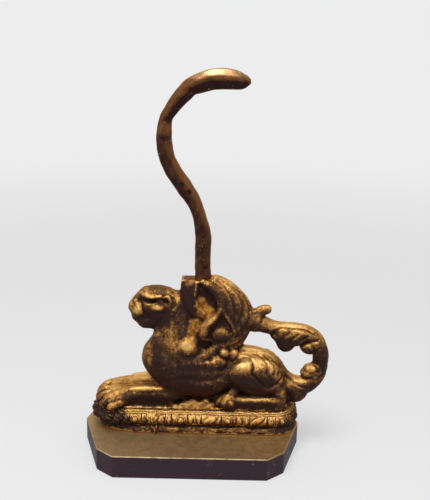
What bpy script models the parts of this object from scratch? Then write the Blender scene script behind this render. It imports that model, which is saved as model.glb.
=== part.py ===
"""A cast iron doorstop: a winged lion on a gadrooned cushion and a canted base, with a carrying rod."""

import math

import bmesh
import bpy
import numpy as np
from mathutils import Matrix, Vector

# Sizes in metres. X runs from the paws (-) to the tail (+), Y across, Z up from the floor.
seat_gap = 0.0003  # between two castings that bear on each other
bore_gap = 0.0004  # round a shank in its hole

# Base block, in plan: straight front and back, canted corners, sides flared to the middle
base_height = 0.02425
base_front_width = 0.156
base_cant_width = 0.0176
base_cant_depth = 0.015
base_side_flare = 0.0188
base_depth = 0.1574
base_wall = 0.010
base_top_plate = 0.010
base_edge_round = 0.0009

# Cushion plinth
plinth_length = 0.219
plinth_depth = 0.0615
plinth_height = 0.0237
plinth_corner = 0.027
plinth_offset = 0.0032  # its centre, towards the tail
lobe_count = 28
lobe_relief = 0.0026
foot_torus_height = 0.0112
cove_depth = 0.0032
top_step = 0.0068  # from the widest line in to the flat top

# Rod: square-shouldered grip above the wings, round shank through all three castings
rod_offset = 0.0086  # its axis, from the middle of the base
rod_width = 0.0165
rod_thickness = 0.0155
shank_diameter = 0.012
rod_socket = 0.0190  # the round recess that the grip stands in, past its corners
rod_seat_height = 0.1385  # above the cushion
grip_height = 0.400  # the top of the hook, above the floor

# Fastenings under the base
rod_boss_diameter = 0.034
rod_boss_drop = 0.0025
washer_diameter = 0.026
washer_thickness = 0.002
nut_across_flats = 0.020
nut_height = 0.0062
rod_end_proud = 0.0008
screw_spacing = 0.128
screw_diameter = 0.006
screw_head_diameter = 0.011
screw_head_height = 0.0042
screw_slot_width = 0.0014
screw_reach = 0.012  # into the cushion
screw_boss_diameter = 0.020

# Lion: stations along X from the middle of the base, heights above the cushion
ground_thickness = 0.0022
foreleg_reach = 0.076  # the toes, ahead of the chest station
foreleg_height = 0.0135  # the top of the paws
foreleg_spread = 0.0145  # each leg's centre line from the middle plane
hindleg_spread = 0.0180
chest_station = -0.025
haunch_station = 0.066
head_station = -0.034
head_lift = 0.1115
wing_station = 0.027
wing_lift = 0.1010
wing_half_depth = 0.0145
wing_rim = 0.003
boss_width = 0.033
boss_depth = 0.015
tail_reach = 0.1350  # the tail's centre line at its furthest
tail_radius = 0.0088

# Fineness of the sculpted casting
clay_box = ((-0.121, -0.037, -0.0055), (0.149, 0, 0.149))
clay_cell = 0.0012
clay_voxel = 0.0012
clay_smoothing = 1
view_slope = 0.41  # how far a scored line sinks for each step back, so that it reads as drawn from above
lion_triangles = 8000

plinth_bottom = base_height + seat_gap
plinth_top = plinth_bottom + plinth_height
lion_bottom = plinth_top + seat_gap
rod_seat = lion_bottom + rod_seat_height
plate_underside = base_height - base_top_plate
boss_underside = plate_underside - rod_boss_drop
bore_diameter = shank_diameter + 2 * bore_gap


def clear_scene():
    for found in list(bpy.data.objects):
        bpy.data.objects.remove(found)


def collection_named(name, hidden=False):
    made = bpy.data.collections.new(name)
    made.hide_render = hidden
    bpy.context.scene.collection.children.link(made)
    return made


def finish(name, colour, roughness, metallic):
    """A Principled material with the metal's own colour."""
    made = bpy.data.materials.new(name)
    made.use_nodes = True
    shader = made.node_tree.nodes["Principled BSDF"]
    shader.inputs["Base Color"].default_value = (*colour, 1)
    shader.inputs["Roughness"].default_value = roughness
    shader.inputs["Metallic"].default_value = metallic
    return made


def object_from(name, mesh, material=None):
    """A part, when it has a material, or else a cutter."""
    made = bpy.data.objects.new(name, mesh)
    if material:
        parts.objects.link(made)
        mesh.materials.append(material)
    else:
        cutters.objects.link(made)
        made.hide_render = True
        made.display_type = "WIRE"
    return made


def mesh_from(name, shape):
    bmesh.ops.recalc_face_normals(shape, faces=shape.faces)
    mesh = bpy.data.meshes.new(name)
    shape.to_mesh(mesh)
    shape.free()
    return mesh


def mesh_of_curve(name, curve):
    """The curve's own mesh, with its loose caps welded on."""
    holder = bpy.data.objects.new(name, curve)
    bpy.context.scene.collection.objects.link(holder)
    if curve.bevel_object:
        mesh = bpy.data.meshes.new_from_object(holder.evaluated_get(bpy.context.evaluated_depsgraph_get()))
    else:
        mesh = bpy.data.meshes.new_from_object(holder)
    bpy.data.objects.remove(holder)
    shape = bmesh.new()
    shape.from_mesh(mesh)
    bmesh.ops.remove_doubles(shape, verts=shape.verts, dist=1e-6)
    bpy.data.meshes.remove(mesh)
    return mesh_from(name, shape)


def cylinder(name, radius, low, high, at=(0, 0), sides=32, material=None):
    """An upright cylinder from one height to another."""
    shape = bmesh.new()
    middle = Matrix.Translation((at[0], at[1], (low + high) / 2))
    bmesh.ops.create_cone(
        shape, cap_ends=True, segments=sides, radius1=radius, radius2=radius, depth=high - low, matrix=middle
    )
    return object_from(name, mesh_from(name, shape), material)


def box(name, size, at):
    shape = bmesh.new()
    bmesh.ops.create_cube(shape, size=1, matrix=Matrix.Translation(at) @ Matrix.Diagonal((*size, 1)))
    return object_from(name, mesh_from(name, shape))


def combine(target, other, operation):
    step = target.modifiers.new(operation.lower() + "_" + other.name, "BOOLEAN")
    step.operation = operation
    step.object = other


def shade(target, angle=35):
    target.data.shade_smooth()
    target.data.set_sharp_from_angle(angle=math.radians(angle))


def extruded(name, outline, low, high, material=None):
    """A flat outline, filled and given a thickness."""
    curve = bpy.data.curves.new(name, "CURVE")
    curve.dimensions = "2D"
    curve.fill_mode = "BOTH"
    curve.extrude = (high - low) / 2
    spline = curve.splines.new("POLY")
    spline.points.add(len(outline) - 1)
    for point, (x, y) in zip(spline.points, outline):
        point.co = (x, y, 0, 1)
    spline.use_cyclic_u = True
    mesh = mesh_of_curve(name, curve)
    mesh.transform(Matrix.Translation((0, 0, (high + low) / 2)))
    return object_from(name, mesh, material)


# Base


def base_outline(inset=0):
    """The ten-cornered plan. Each edge is moved in by the inset, and its neighbours are met again."""
    front, cant, side = (
        base_front_width / 2,
        base_front_width / 2 + base_cant_width,
        base_front_width / 2 + base_cant_width + base_side_flare,
    )
    near, canted = base_depth / 2, base_depth / 2 - base_cant_depth
    right = [(front, -near), (cant, -canted), (side, 0), (cant, canted), (front, near)]
    corners = [Vector(p) for p in right] + [Vector((-x, y)) for x, y in reversed(right)]
    if not inset:
        return [tuple(p) for p in corners]
    lines = []
    for start, end in zip(corners, corners[1:] + corners[:1]):
        along = (end - start).normalized()
        inward = Vector((-along.y, along.x))
        lines.append((start + inward * inset, along))
    moved = []
    for (p, d), (q, e) in zip(lines[-1:] + lines[:-1], lines):
        step = (q - p).cross(e) / d.cross(e)
        moved.append(tuple(p + d * step))
    return moved


def screw_places():
    return [("left", plinth_offset - screw_spacing / 2), ("right", plinth_offset + screw_spacing / 2)]


def make_base():
    """A shallow block, hollow below, with thickened pads round the holes."""
    base = extruded("base_casting", base_outline(), 0, base_height, black_iron)
    edges = base.modifiers.new("worn_edges", "BEVEL")
    edges.width = base_edge_round
    edges.segments = 2
    edges.limit_method = "ANGLE"
    edges.angle_limit = math.radians(30)
    hollow = extruded("base_hollow", base_outline(base_wall), -0.01, plate_underside)
    combine(base, hollow, "DIFFERENCE")
    into_plate = plate_underside + 0.002
    boss = cylinder("rod_boss", rod_boss_diameter / 2, boss_underside, into_plate, (rod_offset, 0))
    combine(base, boss, "UNION")
    rod_hole = cylinder("base_rod_hole", bore_diameter / 2, -0.01, base_height + 0.01, (rod_offset, 0))
    combine(base, rod_hole, "DIFFERENCE")
    for side, x in screw_places():
        pad = cylinder(side + "_screw_pad", screw_boss_diameter / 2, boss_underside, into_plate, (x, 0))
        combine(base, pad, "UNION")
        width = screw_diameter / 2 + bore_gap
        hole = cylinder(side + "_base_screw_hole", width, -0.01, base_height + 0.01, (x, 0), 20)
        combine(base, hole, "DIFFERENCE")
    shade(base)
    return base


# Cushion plinth


def stadium(half_length, half_depth, corner, count):
    """Points at even steps along a rectangle with round corners, with the outward normal at each."""
    straight_x, straight_y = 2 * (half_length - corner), 2 * (half_depth - corner)
    bend = corner * math.pi / 2
    runs = [straight_x, bend, straight_y, bend] * 2
    total = sum(runs)
    points = []
    for step in range(count):
        left = total * step / count
        heading, place = 0.0, Vector((-straight_x / 2, -half_depth))
        for index, run in enumerate(runs):
            used = min(left, run)
            forward = Vector((math.cos(heading), math.sin(heading)))
            if index % 2 == 0:
                place += forward * used
            else:
                turn = used / corner
                centre = place + Vector((-forward.y, forward.x)) * corner
                place = centre + Matrix.Rotation(turn, 2) @ (place - centre)
                heading += turn
            left -= used
            if left <= 0:
                break
        points.append((place, Vector((math.sin(heading), -math.cos(heading)))))
    return points


def plinth_profile():
    """(height, step in from the widest line, share of the lobes' relief) up the side of the cushion."""
    rest = plinth_height - foot_torus_height
    return [
        (0, 0.0022, 0),
        (0.14 * foot_torus_height, 0.0006, 0),
        (0.45 * foot_torus_height, 0, 0),
        (0.80 * foot_torus_height, 0.0009, 0),
        (foot_torus_height, cove_depth, 0),
        (foot_torus_height + 0.10 * rest, cove_depth * 0.8, 0.3),
        (foot_torus_height + 0.28 * rest, 0.0006, 0.9),
        (foot_torus_height + 0.48 * rest, 0.0004, 1),
        (foot_torus_height + 0.66 * rest, 0.0019, 0.8),
        (foot_torus_height + 0.80 * rest, 0.0048, 0.2),
        (foot_torus_height + 0.86 * rest, 0.0046, 0),
        (foot_torus_height + 0.93 * rest, 0.0052, 0),
        (plinth_height, top_step, 0),
    ]


def make_plinth():
    """The profile is carried round the stadium, and the lobes swell it in a row of rounded humps."""
    per_lobe = 5
    count = lobe_count * per_lobe
    rings = []
    shape = bmesh.new()
    outline = stadium(plinth_length / 2, plinth_depth / 2, plinth_corner, count)
    for height, inset, relief in plinth_profile():
        ring = []
        for step, (place, outward) in enumerate(outline):
            hump = abs(math.sin(math.pi * step / per_lobe)) ** 0.6
            reach = -inset - relief * lobe_relief * (1 - hump)
            point = place + outward * reach
            ring.append(shape.verts.new((point.x + plinth_offset, point.y, plinth_bottom + height)))
        rings.append(ring)
    for low, high in zip(rings, rings[1:]):
        for step in range(count):
            after = (step + 1) % count
            shape.faces.new((low[step], low[after], high[after], high[step]))
    shape.faces.new(rings[0])
    shape.faces.new(rings[-1])
    plinth = object_from("plinth_casting", mesh_from("plinth_casting", shape), worn_iron)
    bore = cylinder("plinth_rod_hole", bore_diameter / 2, 0, plinth_top + 0.01, (rod_offset, 0))
    combine(plinth, bore, "DIFFERENCE")
    for side, x in screw_places():
        width, depth = screw_diameter / 2 + bore_gap, plinth_bottom + screw_reach + seat_gap
        combine(plinth, cylinder(side + "_plinth_screw_hole", width, 0, depth, (x, 0), 20), "DIFFERENCE")
    shade(plinth, 50)
    return plinth


# Lion: rounded masses and tapered limbs, joined as distances on a grid and skinned


def smooth_least(a, b, blend):
    """The lesser of two distances, with the crease between them filled over the blend's width."""
    near = np.maximum(blend - np.abs(a - b), 0) / blend
    return np.minimum(a, b) - near * near * blend / 4


def smooth_line(points, spacing):
    """A Catmull-Rom line through the given points, at even spacing."""
    knots = np.array(points, float)
    padded = np.vstack([2 * knots[0] - knots[1], knots, 2 * knots[-1] - knots[-2]])
    a, b, c, d = padded[:-3], padded[1:-2], padded[2:-1], padded[3:]
    t = np.linspace(0, 1, 24, endpoint=False)[None, :, None]
    a, b, c, d = (k[:, None, :] for k in (a, b, c, d))
    fine = 0.5 * (2 * b + (c - a) * t + (2 * a - 5 * b + 4 * c - d) * t**2 + (3 * b - a - 3 * c + d) * t**3)
    fine = np.vstack([fine.reshape(-1, knots.shape[1]), knots[-1]])
    steps = np.linalg.norm(np.diff(fine[:, :3], axis=0), axis=1)
    along = np.concatenate([[0], np.cumsum(steps)])
    count = max(2, int(round(along[-1] / spacing)) + 1)
    shares = np.linspace(0, along[-1], count)
    return np.stack([np.interp(shares, along, fine[:, i]) for i in range(fine.shape[1])], axis=1)


def lattice_noise(counts, step, seed):
    """Random values on a coarse lattice, joined by smooth steps."""
    values = np.random.default_rng(seed).uniform(-1, 1,
        [int(n / step) + 3 for n in counts]).astype(np.float32)
    for axis, count in enumerate(counts):
        place = np.arange(count) / step
        first = place.astype(int)
        share = place - first
        share = (share * share * (3 - 2 * share)).astype(np.float32)
        share = share.reshape([-1 if a == axis else 1 for a in range(len(counts))])
        values = values.take(first, axis) * (1 - share) + values.take(first + 1, axis) * share
    return values


def outline_distance(x, z, outline):
    """Signed distance to a closed outline, below 0 inside it."""
    nearest, inside = np.full(x.shape, 1e9), np.zeros(x.shape, bool)
    for (x1, z1), (x2, z2) in zip(outline, np.roll(outline, -1, axis=0)):
        dx, dz = x2 - x1, z2 - z1
        share = np.clip(((x - x1) * dx + (z - z1) * dz) / max(dx * dx + dz * dz, 1e-9), 0, 1)
        nearest = np.minimum(nearest, np.hypot(x - x1 - share * dx, z - z1 - share * dz))
        if z1 != z2:
            inside ^= ((z1 > z) != (z2 > z)) & (x < x1 + (z - z1) * dx / dz)
    return np.where(inside, -nearest, nearest)


class Clay:
    """Distances to the near half of a shape, on a grid, in millimetres.

    x runs along the base, y across it with the near side negative, and z up from the cushion.
    """

    def __init__(self, low, high, cell):
        self.low, self.cell = np.array(low, float), cell
        counts = [int(math.ceil((b - a) / cell)) + 1 for a, b in zip(low, high)]
        self.axes = [a + cell * np.arange(n) for a, n in zip(low, counts)]
        self.far = 9.0
        self.origin = np.zeros(3)
        self.field = np.full(counts, self.far, np.float32)

    def stand(self, station, lift=0.0, spread=0.0):
        """Measures what follows from a station, a height above the cushion, and a spread to the near side."""
        self.origin = np.array([station, -spread, lift]) * 1000

    def window(self, low, high, margin):
        cuts = []
        for axis, a, b in zip(self.axes, low, high):
            first = max(int(np.searchsorted(axis, a - margin)) - 1, 0)
            cuts.append(slice(first, int(np.searchsorted(axis, b + margin)) + 1))
        x, y, z = (axis[cut].astype(np.float32) for axis, cut in zip(self.axes, cuts))
        return tuple(cuts), x[:, None, None], y[None, :, None], z[None, None, :]

    def join(self, cuts, distance, blend, carve):
        held = self.field[cuts]
        if carve:
            held[...] = -smooth_least(-held, distance, blend)
        else:
            held[...] = smooth_least(held, distance, blend)

    def ball(self, at, size, tilt=0, turn=0, blend=4.0, carve=False):
        """An ellipsoid, tilted about y and then turned about z: its distance is close to k0 (k0 - 1) /
        k1."""
        at = np.add(at, self.origin)
        turned = np.array(Matrix.Rotation(math.radians(turn), 3, "Z") @ Matrix.Rotation(math.radians(tilt),
            3, "Y"))
        size = np.array(size, float)
        reach = np.sqrt(((turned * size) ** 2).sum(axis=1))
        cuts, x, y, z = self.window(np.array(at) - reach, np.array(at) + reach, blend + 2.5)
        local = [turned[0, i] * (x - at[0]) + turned[1, i] * (y - at[1]) + turned[2,
            i] * (z - at[2]) for i in range(3)]
        k0 = np.sqrt(sum((part / r) ** 2 for part, r in zip(local, size)))
        k1 = np.sqrt(sum((part / r**2) ** 2 for part, r in zip(local, size)))
        self.join(cuts, k0 * (k0 - 1) / np.maximum(k1, 1e-6), blend, carve)

    def rope(self, points, blend=2.0, flat=1.0, carve=False, spacing=2.0):
        """A tube through (x, y, z, radius) points; flat thins it across the base."""
        line = smooth_line(points, spacing)
        line[:, :3] += self.origin
        radius = line[:, 3].max()
        low, high = line[:, :3].min(axis=0) - radius, line[:, :3].max(axis=0) + radius
        cuts, x, y, z = self.window(low, high, blend + 2.5)
        nearest = np.full(self.field[cuts].shape, self.far, np.float32)
        first = [cut.start for cut in cuts]
        for start, end in zip(line[:-1], line[1:]):
            big = max(start[3], end[3])
            inner, x, y, z = self.window(
                np.minimum(start, end)[:3] - big, np.maximum(start, end)[:3] + big, blend + 2.5
            )
            inner = tuple(slice(max(c.start - f, 0), max(c.stop - f, 0)) for c, f in zip(inner, first))
            step = end[:3] - start[:3]
            px, py, pz = x - start[0], y - start[1], z - start[2]
            share = np.clip((px * step[0] + py * step[1] + pz * step[2]) / max(step @ step, 1e-6), 0, 1)
            px, py, pz = px - share * step[0], py - share * step[1], pz - share * step[2]
            thick = start[3] + share * (end[3] - start[3])
            if flat == 1:
                distance = np.sqrt(px * px + py * py + pz * pz) - thick
            else:
                rest = px * px + pz * pz
                k0 = np.sqrt(rest + (py / flat) ** 2) / thick
                k1 = np.sqrt(rest + (py / flat**2) ** 2) / thick**2
                distance = k0 * (k0 - 1) / np.maximum(k1, 1e-6)
            held = nearest[inner]
            held[...] = np.minimum(held, distance[: held.shape[0], : held.shape[1], : held.shape[2]])
        self.join(cuts, nearest, blend, carve)

    def block(self, low, high, corner, blend=2.0, carve=False):
        """A box with rounded edges."""
        low, high = np.add(low, self.origin), np.add(high, self.origin)
        centre, half = (low + high) / 2, (high - low) / 2 - corner
        cuts, x, y, z = self.window(low, high, blend + 2.5)
        q = [np.abs(v - c) - h for v, c, h in zip((x, y, z), centre, half)]
        outside = np.sqrt(sum(np.maximum(v, 0) ** 2 for v in q))
        inside = np.minimum(np.maximum(np.maximum(q[0], q[1]), q[2]), 0)
        self.join(cuts, outside + inside - corner, blend, carve)

    def score(self, points, depth, narrow, wide, far=-4, fade=0.12, seen=-15):
        """A groove along an (x, z) line, as the line is seen at the given y by an eye above the near
        side: further back it sinks. Across the line it is depth * exp(-(d / width)^2), with the wide
        width on the line's left."""
        line = smooth_line(points, 1.0) + self.origin[[0, 2]]
        reach = 2.2 * max(narrow, wide)
        low, high = line.min(axis=0) - reach, line.max(axis=0) + reach
        slope, near = view_slope, self.low[1]
        cuts, x, y, z = self.window(
            (low[0], near, low[1] - slope * (far - seen)), (high[0], far,
                high[1] - slope * (near - seen)), 0
        )
        heights = np.arange(low[1], high[1] + self.cell, self.cell)
        x, z2 = x[:, :, 0], heights[None, :]
        square, side, along = np.full((3, x.shape[0], len(heights)), 99.0 ** 2)
        for index, (start, end) in enumerate(zip(line[:-1], line[1:])):
            step = end - start
            px, pz = x - start[0], z2 - start[1]
            share = np.clip((px * step[0] + pz * step[1]) / max(step @ step, 1e-6), 0, 1)
            found = (px - share * step[0]) ** 2 + (pz - share * step[1]) ** 2
            closer = found < square
            square = np.where(closer, found, square)
            side = np.where(closer, step[0] * pz - step[1] * px, side)
            along = np.where(closer, (index + share) / (len(line) - 1), along)
        width = np.where(side > 0, wide, narrow)
        ends = np.clip(np.minimum(along, 1 - along) / fade, 0, 1)
        profile = np.pad(depth * np.exp(-square / width**2) * ends * (2 - ends), ((0, 0), (1, 1)))
        place = np.clip((z[0] + slope * (y[0] - seen) - low[1]) / self.cell + 1, 0, len(heights) + 0.99)
        first = place.astype(int)
        share = place - first
        cut = profile[:, first] * (1 - share) + profile[:, first + 1] * share
        self.field[cuts] += (cut * np.clip((far - y) / 3, 0, 1)).astype(np.float32)

    def plate(self, outline, thickness, dips=(), blend=4.0):
        """A plate that stands either side of the middle plane inside an (x, z) outline, as thick as
        thickness(inset) says, less any dips, each an outline with the thickness wanted inside it at
        its foot and its head."""
        outline = smooth_line(list(outline) + [outline[0]], 2.0)[:-1] + self.origin[[0, 2]]
        low, high = outline.min(axis=0), outline.max(axis=0)
        cuts, x, y, z = self.window((low[0], -30, low[1]), (high[0], 0, high[1]), blend + 2.5)
        x2, z2 = np.broadcast_arrays(x[:, :, 0], z[:, 0, :])
        inset = -outline_distance(x2, z2, outline)
        half = np.where(inset > 0, thickness(np.maximum(inset, 0)), 3 * inset)
        for shape, foot, head in dips:
            shape = smooth_line(list(shape) + [shape[0]], 2.0)[:-1] + self.origin[[0, 2]]
            depth = -outline_distance(x2, z2, shape)
            share = np.clip((depth + 1) / 2.5, 0, 1)
            rise = (z2 - shape[:, 1].min()) / np.ptp(shape[:, 1])
            wanted = foot + (head - foot) * np.clip(rise, 0, 1)
            half = np.where(half > wanted, half + (wanted - half) * share * share * (3 - 2 * share), half)
        slope = np.gradient(half, self.cell)
        steep = 1 / np.sqrt(1 + slope[0] ** 2 + slope[1] ** 2)
        distance = (np.abs(y) - half[:, None, :]) * steep[:, None, :]
        self.join(cuts, distance.astype(np.float32), blend, False)

    def both(self):
        """The near half and its mirror image, as one grid."""
        return np.concatenate([self.field, self.field[:, -2::-1, :]], axis=1)


def skin_of(field, low, cell):
    """Surface nets: one point in each cell that the surface crosses, at the mean of its edge
    crossings, and one four-sided face for each grid edge that it crosses."""
    inside = field < 0
    corners = [(i, j, k) for i in (0, 1) for j in (0, 1) for k in (0, 1)]

    def at(array, corner):
        return array[tuple(slice(c, array.shape[a] - 1 + c) for a, c in enumerate(corner))]

    count = sum(at(inside, corner).astype(np.int8) for corner in corners)
    cells = np.argwhere((count > 0) & (count < 8))
    total, crossings = np.zeros((len(cells), 3)), np.zeros(len(cells))
    for axis in range(3):
        for corner in corners:
            if corner[axis]:
                continue
            start = cells + corner
            end = start.copy()
            end[:, axis] += 1
            a, b = field[tuple(start.T)].astype(float), field[tuple(end.T)].astype(float)
            crossed = (a < 0) != (b < 0)
            share = np.where(crossed, a / np.where(crossed, a - b, 1), 0)
            place = start.astype(float)
            place[:, axis] += share
            total += place * crossed[:, None]
            crossings += crossed
    points = total / crossings[:, None]
    number = np.full(np.array(field.shape) - 1, -1, np.int32)
    number[tuple(cells.T)] = np.arange(len(cells))
    faces = []
    for axis in range(3):
        one, two = [a for a in range(3) if a != axis]
        core = [slice(1, -1)] * 3
        core[axis] = slice(0, -1)
        ahead = [slice(1, -1)] * 3
        ahead[axis] = slice(1, None)
        a, b = inside[tuple(core)], inside[tuple(ahead)]
        found = np.argwhere(a != b)
        leaving = a[tuple(found.T)]
        found[:, one] += 1
        found[:, two] += 1
        ring = []
        for shift in ((0, 0), (1, 0), (1, 1), (0, 1)):
            shifted = found.copy()
            shifted[:, one] -= shift[0]
            shifted[:, two] -= shift[1]
            ring.append(number[tuple(shifted.T)])
        quad = np.stack(ring, axis=1)
        flip = ~leaving if axis != 1 else leaving
        quad[flip] = quad[flip][:, ::-1]
        faces.append(quad)
    return low + points * cell, np.concatenate(faces)


def model_body(clay):
    """Chest, ribs, loin and rump, with the neck rising from the shoulders."""
    clay.stand(chest_station)
    clay.ball((-0.8, 0, 50.5), (28.5, 21, 27), blend=6)
    clay.ball((40, 0, 38), (46, 21, 25), blend=8)
    clay.ball((34, 0, 33.5), (36, 23.5, 20), blend=8)
    clay.ball((40, 0, 7.5), (58, 12, 13), blend=5)
    clay.ball((5, -11, 43.5), (23, 12, 25), blend=8)
    clay.ball((39, -12, 31.5), (22, 13, 17), blend=6)
    clay.ball((25, -12.5, 26), (32, 10, 14), blend=5)
    clay.ball((4.5, 0, 73.5), (22, 16, 30), blend=6)
    clay.rope([(1, 0, 109.5, 12.5), (5, 0, 92, 15), (4, 0, 66, 19)], blend=6)
    clay.rope([(5, 0, 109.5, 12.5), (13, 0, 109.5, 13), (17, 0, 80, 15.5)], blend=6)
    clay.stand(haunch_station)
    clay.ball((-10, 0, 38.7), (37, 18, 22), blend=8)
    clay.ball((17, 0, 27), (17, 16, 22.5), blend=6)
    rim = [(-20, -1, 59.8, 4.5), (-10, -1, 60.1, 4.5), (0, -1, 58.9, 4.5), (8, -1, 56.3, 4.5),
        (14, -1, 53.7, 4.5)]
    rim += [(20, -1, 48.9, 4.5), (24, -1, 44.1, 4.5), (28, -1, 38.3, 4.5), (32, -1, 32.5, 4.5),
        (37, -1, 27.7, 4.5)]
    clay.rope(rim, blend=3)


def model_head(clay):
    """Skull, muzzle, jaw and cheeks, with a heavy brow and small round ears."""
    clay.stand(head_station, head_lift)
    clay.ball((-3, 0, 2), (17, 13, 18), blend=3)
    clay.ball((-19, 0, -6.5), (12.5, 9, 11), 20, blend=3)
    clay.ball((-27.5, 0, -5), (6.5, 6, 6), blend=3)
    clay.ball((-14.5, 0, -19), (11, 9, 9.5), -10, blend=3)
    clay.ball((-7, 0, -20), (8, 9, 9), blend=3)
    clay.ball((-24, 0, -14.5), (6.5, 6.2, 6.5), blend=3)
    clay.ball((1, 0, -11), (13, 12.5, 13), blend=3)
    clay.ball((-4.5, -9, -2.6), (9.5, 5, 5.2), 8, blend=1.8)
    clay.ball((-23, -4.5, -8.5), (6.5, 5, 6.5), 30, blend=1.8)
    clay.ball((-17.5, -6, -6.4), (2.6, 3.2, 6), -12, blend=2)
    clay.rope([(-16, 0, 10.5, 6), (-22, 0, 5.5, 5.5), (-28, 0, -1, 4.6)], blend=3)
    brow = [(-19, -3.5, 9.2, 2.4), (-15.5, -6.5, 8.2, 2.8), (-12, -8.5, 6.8, 2.9), (-8, -9.6, 6.6, 3)]
    clay.rope(brow + [(-4, -10, 7.2, 2.9), (0, -10, 8.8, 2.2)], blend=1.8)
    ear = [(3.5, -10.8, 8.6, 1.6), (6.2, -11.6, 9.8, 2), (9, -12, 8.8, 2.2), (10.2, -12, 5.4, 2.2)]
    clay.rope(ear + [(9, -11.8, 1.8, 1.9), (6, -11.2, 0.8, 1.6)], blend=1.2)
    clay.ball((5.4, -13, 5.4), (2.4, 3, 2.8), blend=1.2, carve=True)
    clay.ball((-12.5, -11.4, 2.2), (6.5, 3.2, 1.7), -4, blend=1.4, carve=True)
    clay.score([(-21, 5), (-15, 3.8), (-9, 3.8), (-2, 6)], 0.9, 1.4, 1.6, far=-3, seen=-10)
    clay.ball((-12, -8.8, 1.9), (3, 1.7, 1.3), blend=0.5)
    clay.score([(-21.5, 7), (-19.5, 1), (-18.5, -2)], 0.9, 1.4, 1.8, far=-3, seen=-9)
    clay.score([(-22, -13), (-16, -13.5), (-10, -13)], 0.6, 1.2, 2, far=-2, seen=-9)
    clay.score([(-31, -3), (-28.5, -4.5), (-27.5, -7.5)], 0.6, 0.8, 0.8, far=0, seen=-5)
    clay.score([(12, 0), (8, -5.5), (3, -12), (-3, -20)], 0.8, 2.6, 2.6, far=-5, seen=-12)


def model_forelegs(clay):
    """Arms side by side with a flat valley between them, and paws whose toes fan over the ground's edge."""
    clay.stand(chest_station, 0, foreleg_spread)
    clay.ball((10, 0.5, 31.5), (17, 8.5, 17), blend=7)
    clay.rope([(6, 0.5, 15.5, 8.2), (-8, 0.5, 13.5, 8), (-33, 1, 13.3, 7.8), (-52, 1, 10, 8)], blend=3)
    clay.rope([(1, -2.5, 19.5, 2.4), (-11, -2.5, 19.5, 2.8), (-25, -2.2, 19.5, 3),
        (-39, -1.5, 18.1, 2.6)], blend=2.2)
    clay.block((-63, 2.5, -2.5), (9, 17.5, 17.8), 4, blend=4)
    clay.block((-49, -5, -2.5), (5, 17.5, 9.5), 3, blend=3)
    clay.ball((-59, 0, 7), (15, 12, 9.5), 6, blend=4)
    clay.ball((-48, -2.5, 7.5), (9, 6, 7), blend=3)
    reach, height = foreleg_reach * 1000, foreleg_height * 1000
    for ahead, out, drop in ((0, 9, 0), (1, 2, 1.4), (5.5, -4.5, 4.4), (13, -9, 7.2)):
        tip, root, top = ahead - reach, 0.5 * out + 0.25, height - drop
        clay.rope(
            [(-52, root, top - 0.8, 3.6), (tip + 13, out + (root - out) * 0.35, top, 4.8),
                (tip + 6, out, top - 3, 5.2)]
            + [(tip + 2.6, out - 0.3, (top - 2.5) / 2, 5), (tip + 2.4, out - 0.5, 1, 4.2)],
            blend=1.6,
        )


def model_hindlegs(clay):
    """Folded hind legs: thigh, knee, shank along the ground, heel and paw."""
    clay.stand(haunch_station, 0, hindleg_spread)
    clay.ball((1, 5, 35.5), (28, 11.5, 21), 14, blend=5)
    clay.ball((-13.5, 0.5, 43.5), (11.5, 7.5, 11), blend=2)
    clay.ball((-10, 1, 33.5), (21, 8.3, 12.5), 28, blend=2)
    clay.block((-26, -4.5, -4.5), (27, 20, 14.3), 4.5, blend=2)
    clay.rope([(18, 6, 29.5, 8), (24, 4.5, 21.5, 7.5), (26, 3, 12.5, 7), (25, 2, 3.5, 6.4)], blend=4)
    clay.ball((-28.5, 1.5, 8.5), (11.5, 9.5, 8), blend=3)
    clay.rope([(-21, 3, 23.5, 4.5), (-24, 1, 17, 4.6), (-29, 0, 11.5, 4.6)], blend=3)
    clay.ball((31, 18, 8), (9, 9, 9), blend=4)
    for x, out in ((-38.5, 4.5), (-36.5, -1.5), (-31.5, -5.2), (-25.5, -6)):
        clay.ball((x, out, 7.3), (4.8, 4, 5.2), blend=1.6)


def model_haunch_leaf(clay):
    """A leaf that laps the haunch from the loin down to a point, with three ribs."""
    clay.stand(haunch_station)
    clay.ball((9, -13, 39), (19.5, 10.5, 17), 20, blend=1.5)
    clay.rope([(3, -17.5, 45.5, 7), (6, -18.5, 37.5, 7), (10.5, -18.5, 30.5, 4)], blend=3)
    clay.ball((21, -15, 34.5), (7.5, 7, 11), -15, blend=2.5)
    edge = [(-21, 57.5), (-13, 63), (-8, 61), (-4.5, 56.5), (-3, 50.5), (-4, 44.5), (-2, 41.5), (1, 38.5),
        (6, 33.5), (9.5, 28)]
    clay.score(edge, 1.5, 1.6, 0.9, far=-10, fade=0.05, seen=-24)
    clay.score([(27.5, 47.5), (27.5, 40.5), (23, 34), (17, 29.5),
        (11, 25.5)], 1.3, 1.6, 1.8, far=-10, seen=-22)
    for groove in (
        [(-16, 67.5), (-8, 67.1), (-1, 64.9), (5, 60.5), (9.5, 55.5), (11.6, 50.5), (11, 45.5),
            (8.5, 41.5)],
        [(-12, 68.5), (-2, 67.5), (5.5, 64.5), (11.5, 59.5), (16.5, 54.5), (19, 49.5), (19, 44.5),
            (16.5, 39.5)],
        [(0, 68), (8, 65.5), (14, 61), (20, 55), (23, 49.5), (23.3, 43.5), (22, 38.5)],
    ):
        clay.score(groove, 1.15, 0.9, 3.4, far=-4, seen=-20)
    clay.score([(-12, 68.5), (-1, 68.1), (8, 65.7), (16.5, 61.3), (22.5, 56), (26.3, 49),
        (28, 43.5)], 0.9, 2, 1.2, far=-2, seen=-12)


def wing_thickness(inset):
    """Half of it, by the distance in from the wing's outline."""
    return wing_half_depth * 1000 * (1 - np.exp(-inset / 9)) + wing_rim * 1000 * (1 - np.exp(-inset / 1.1))


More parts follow.
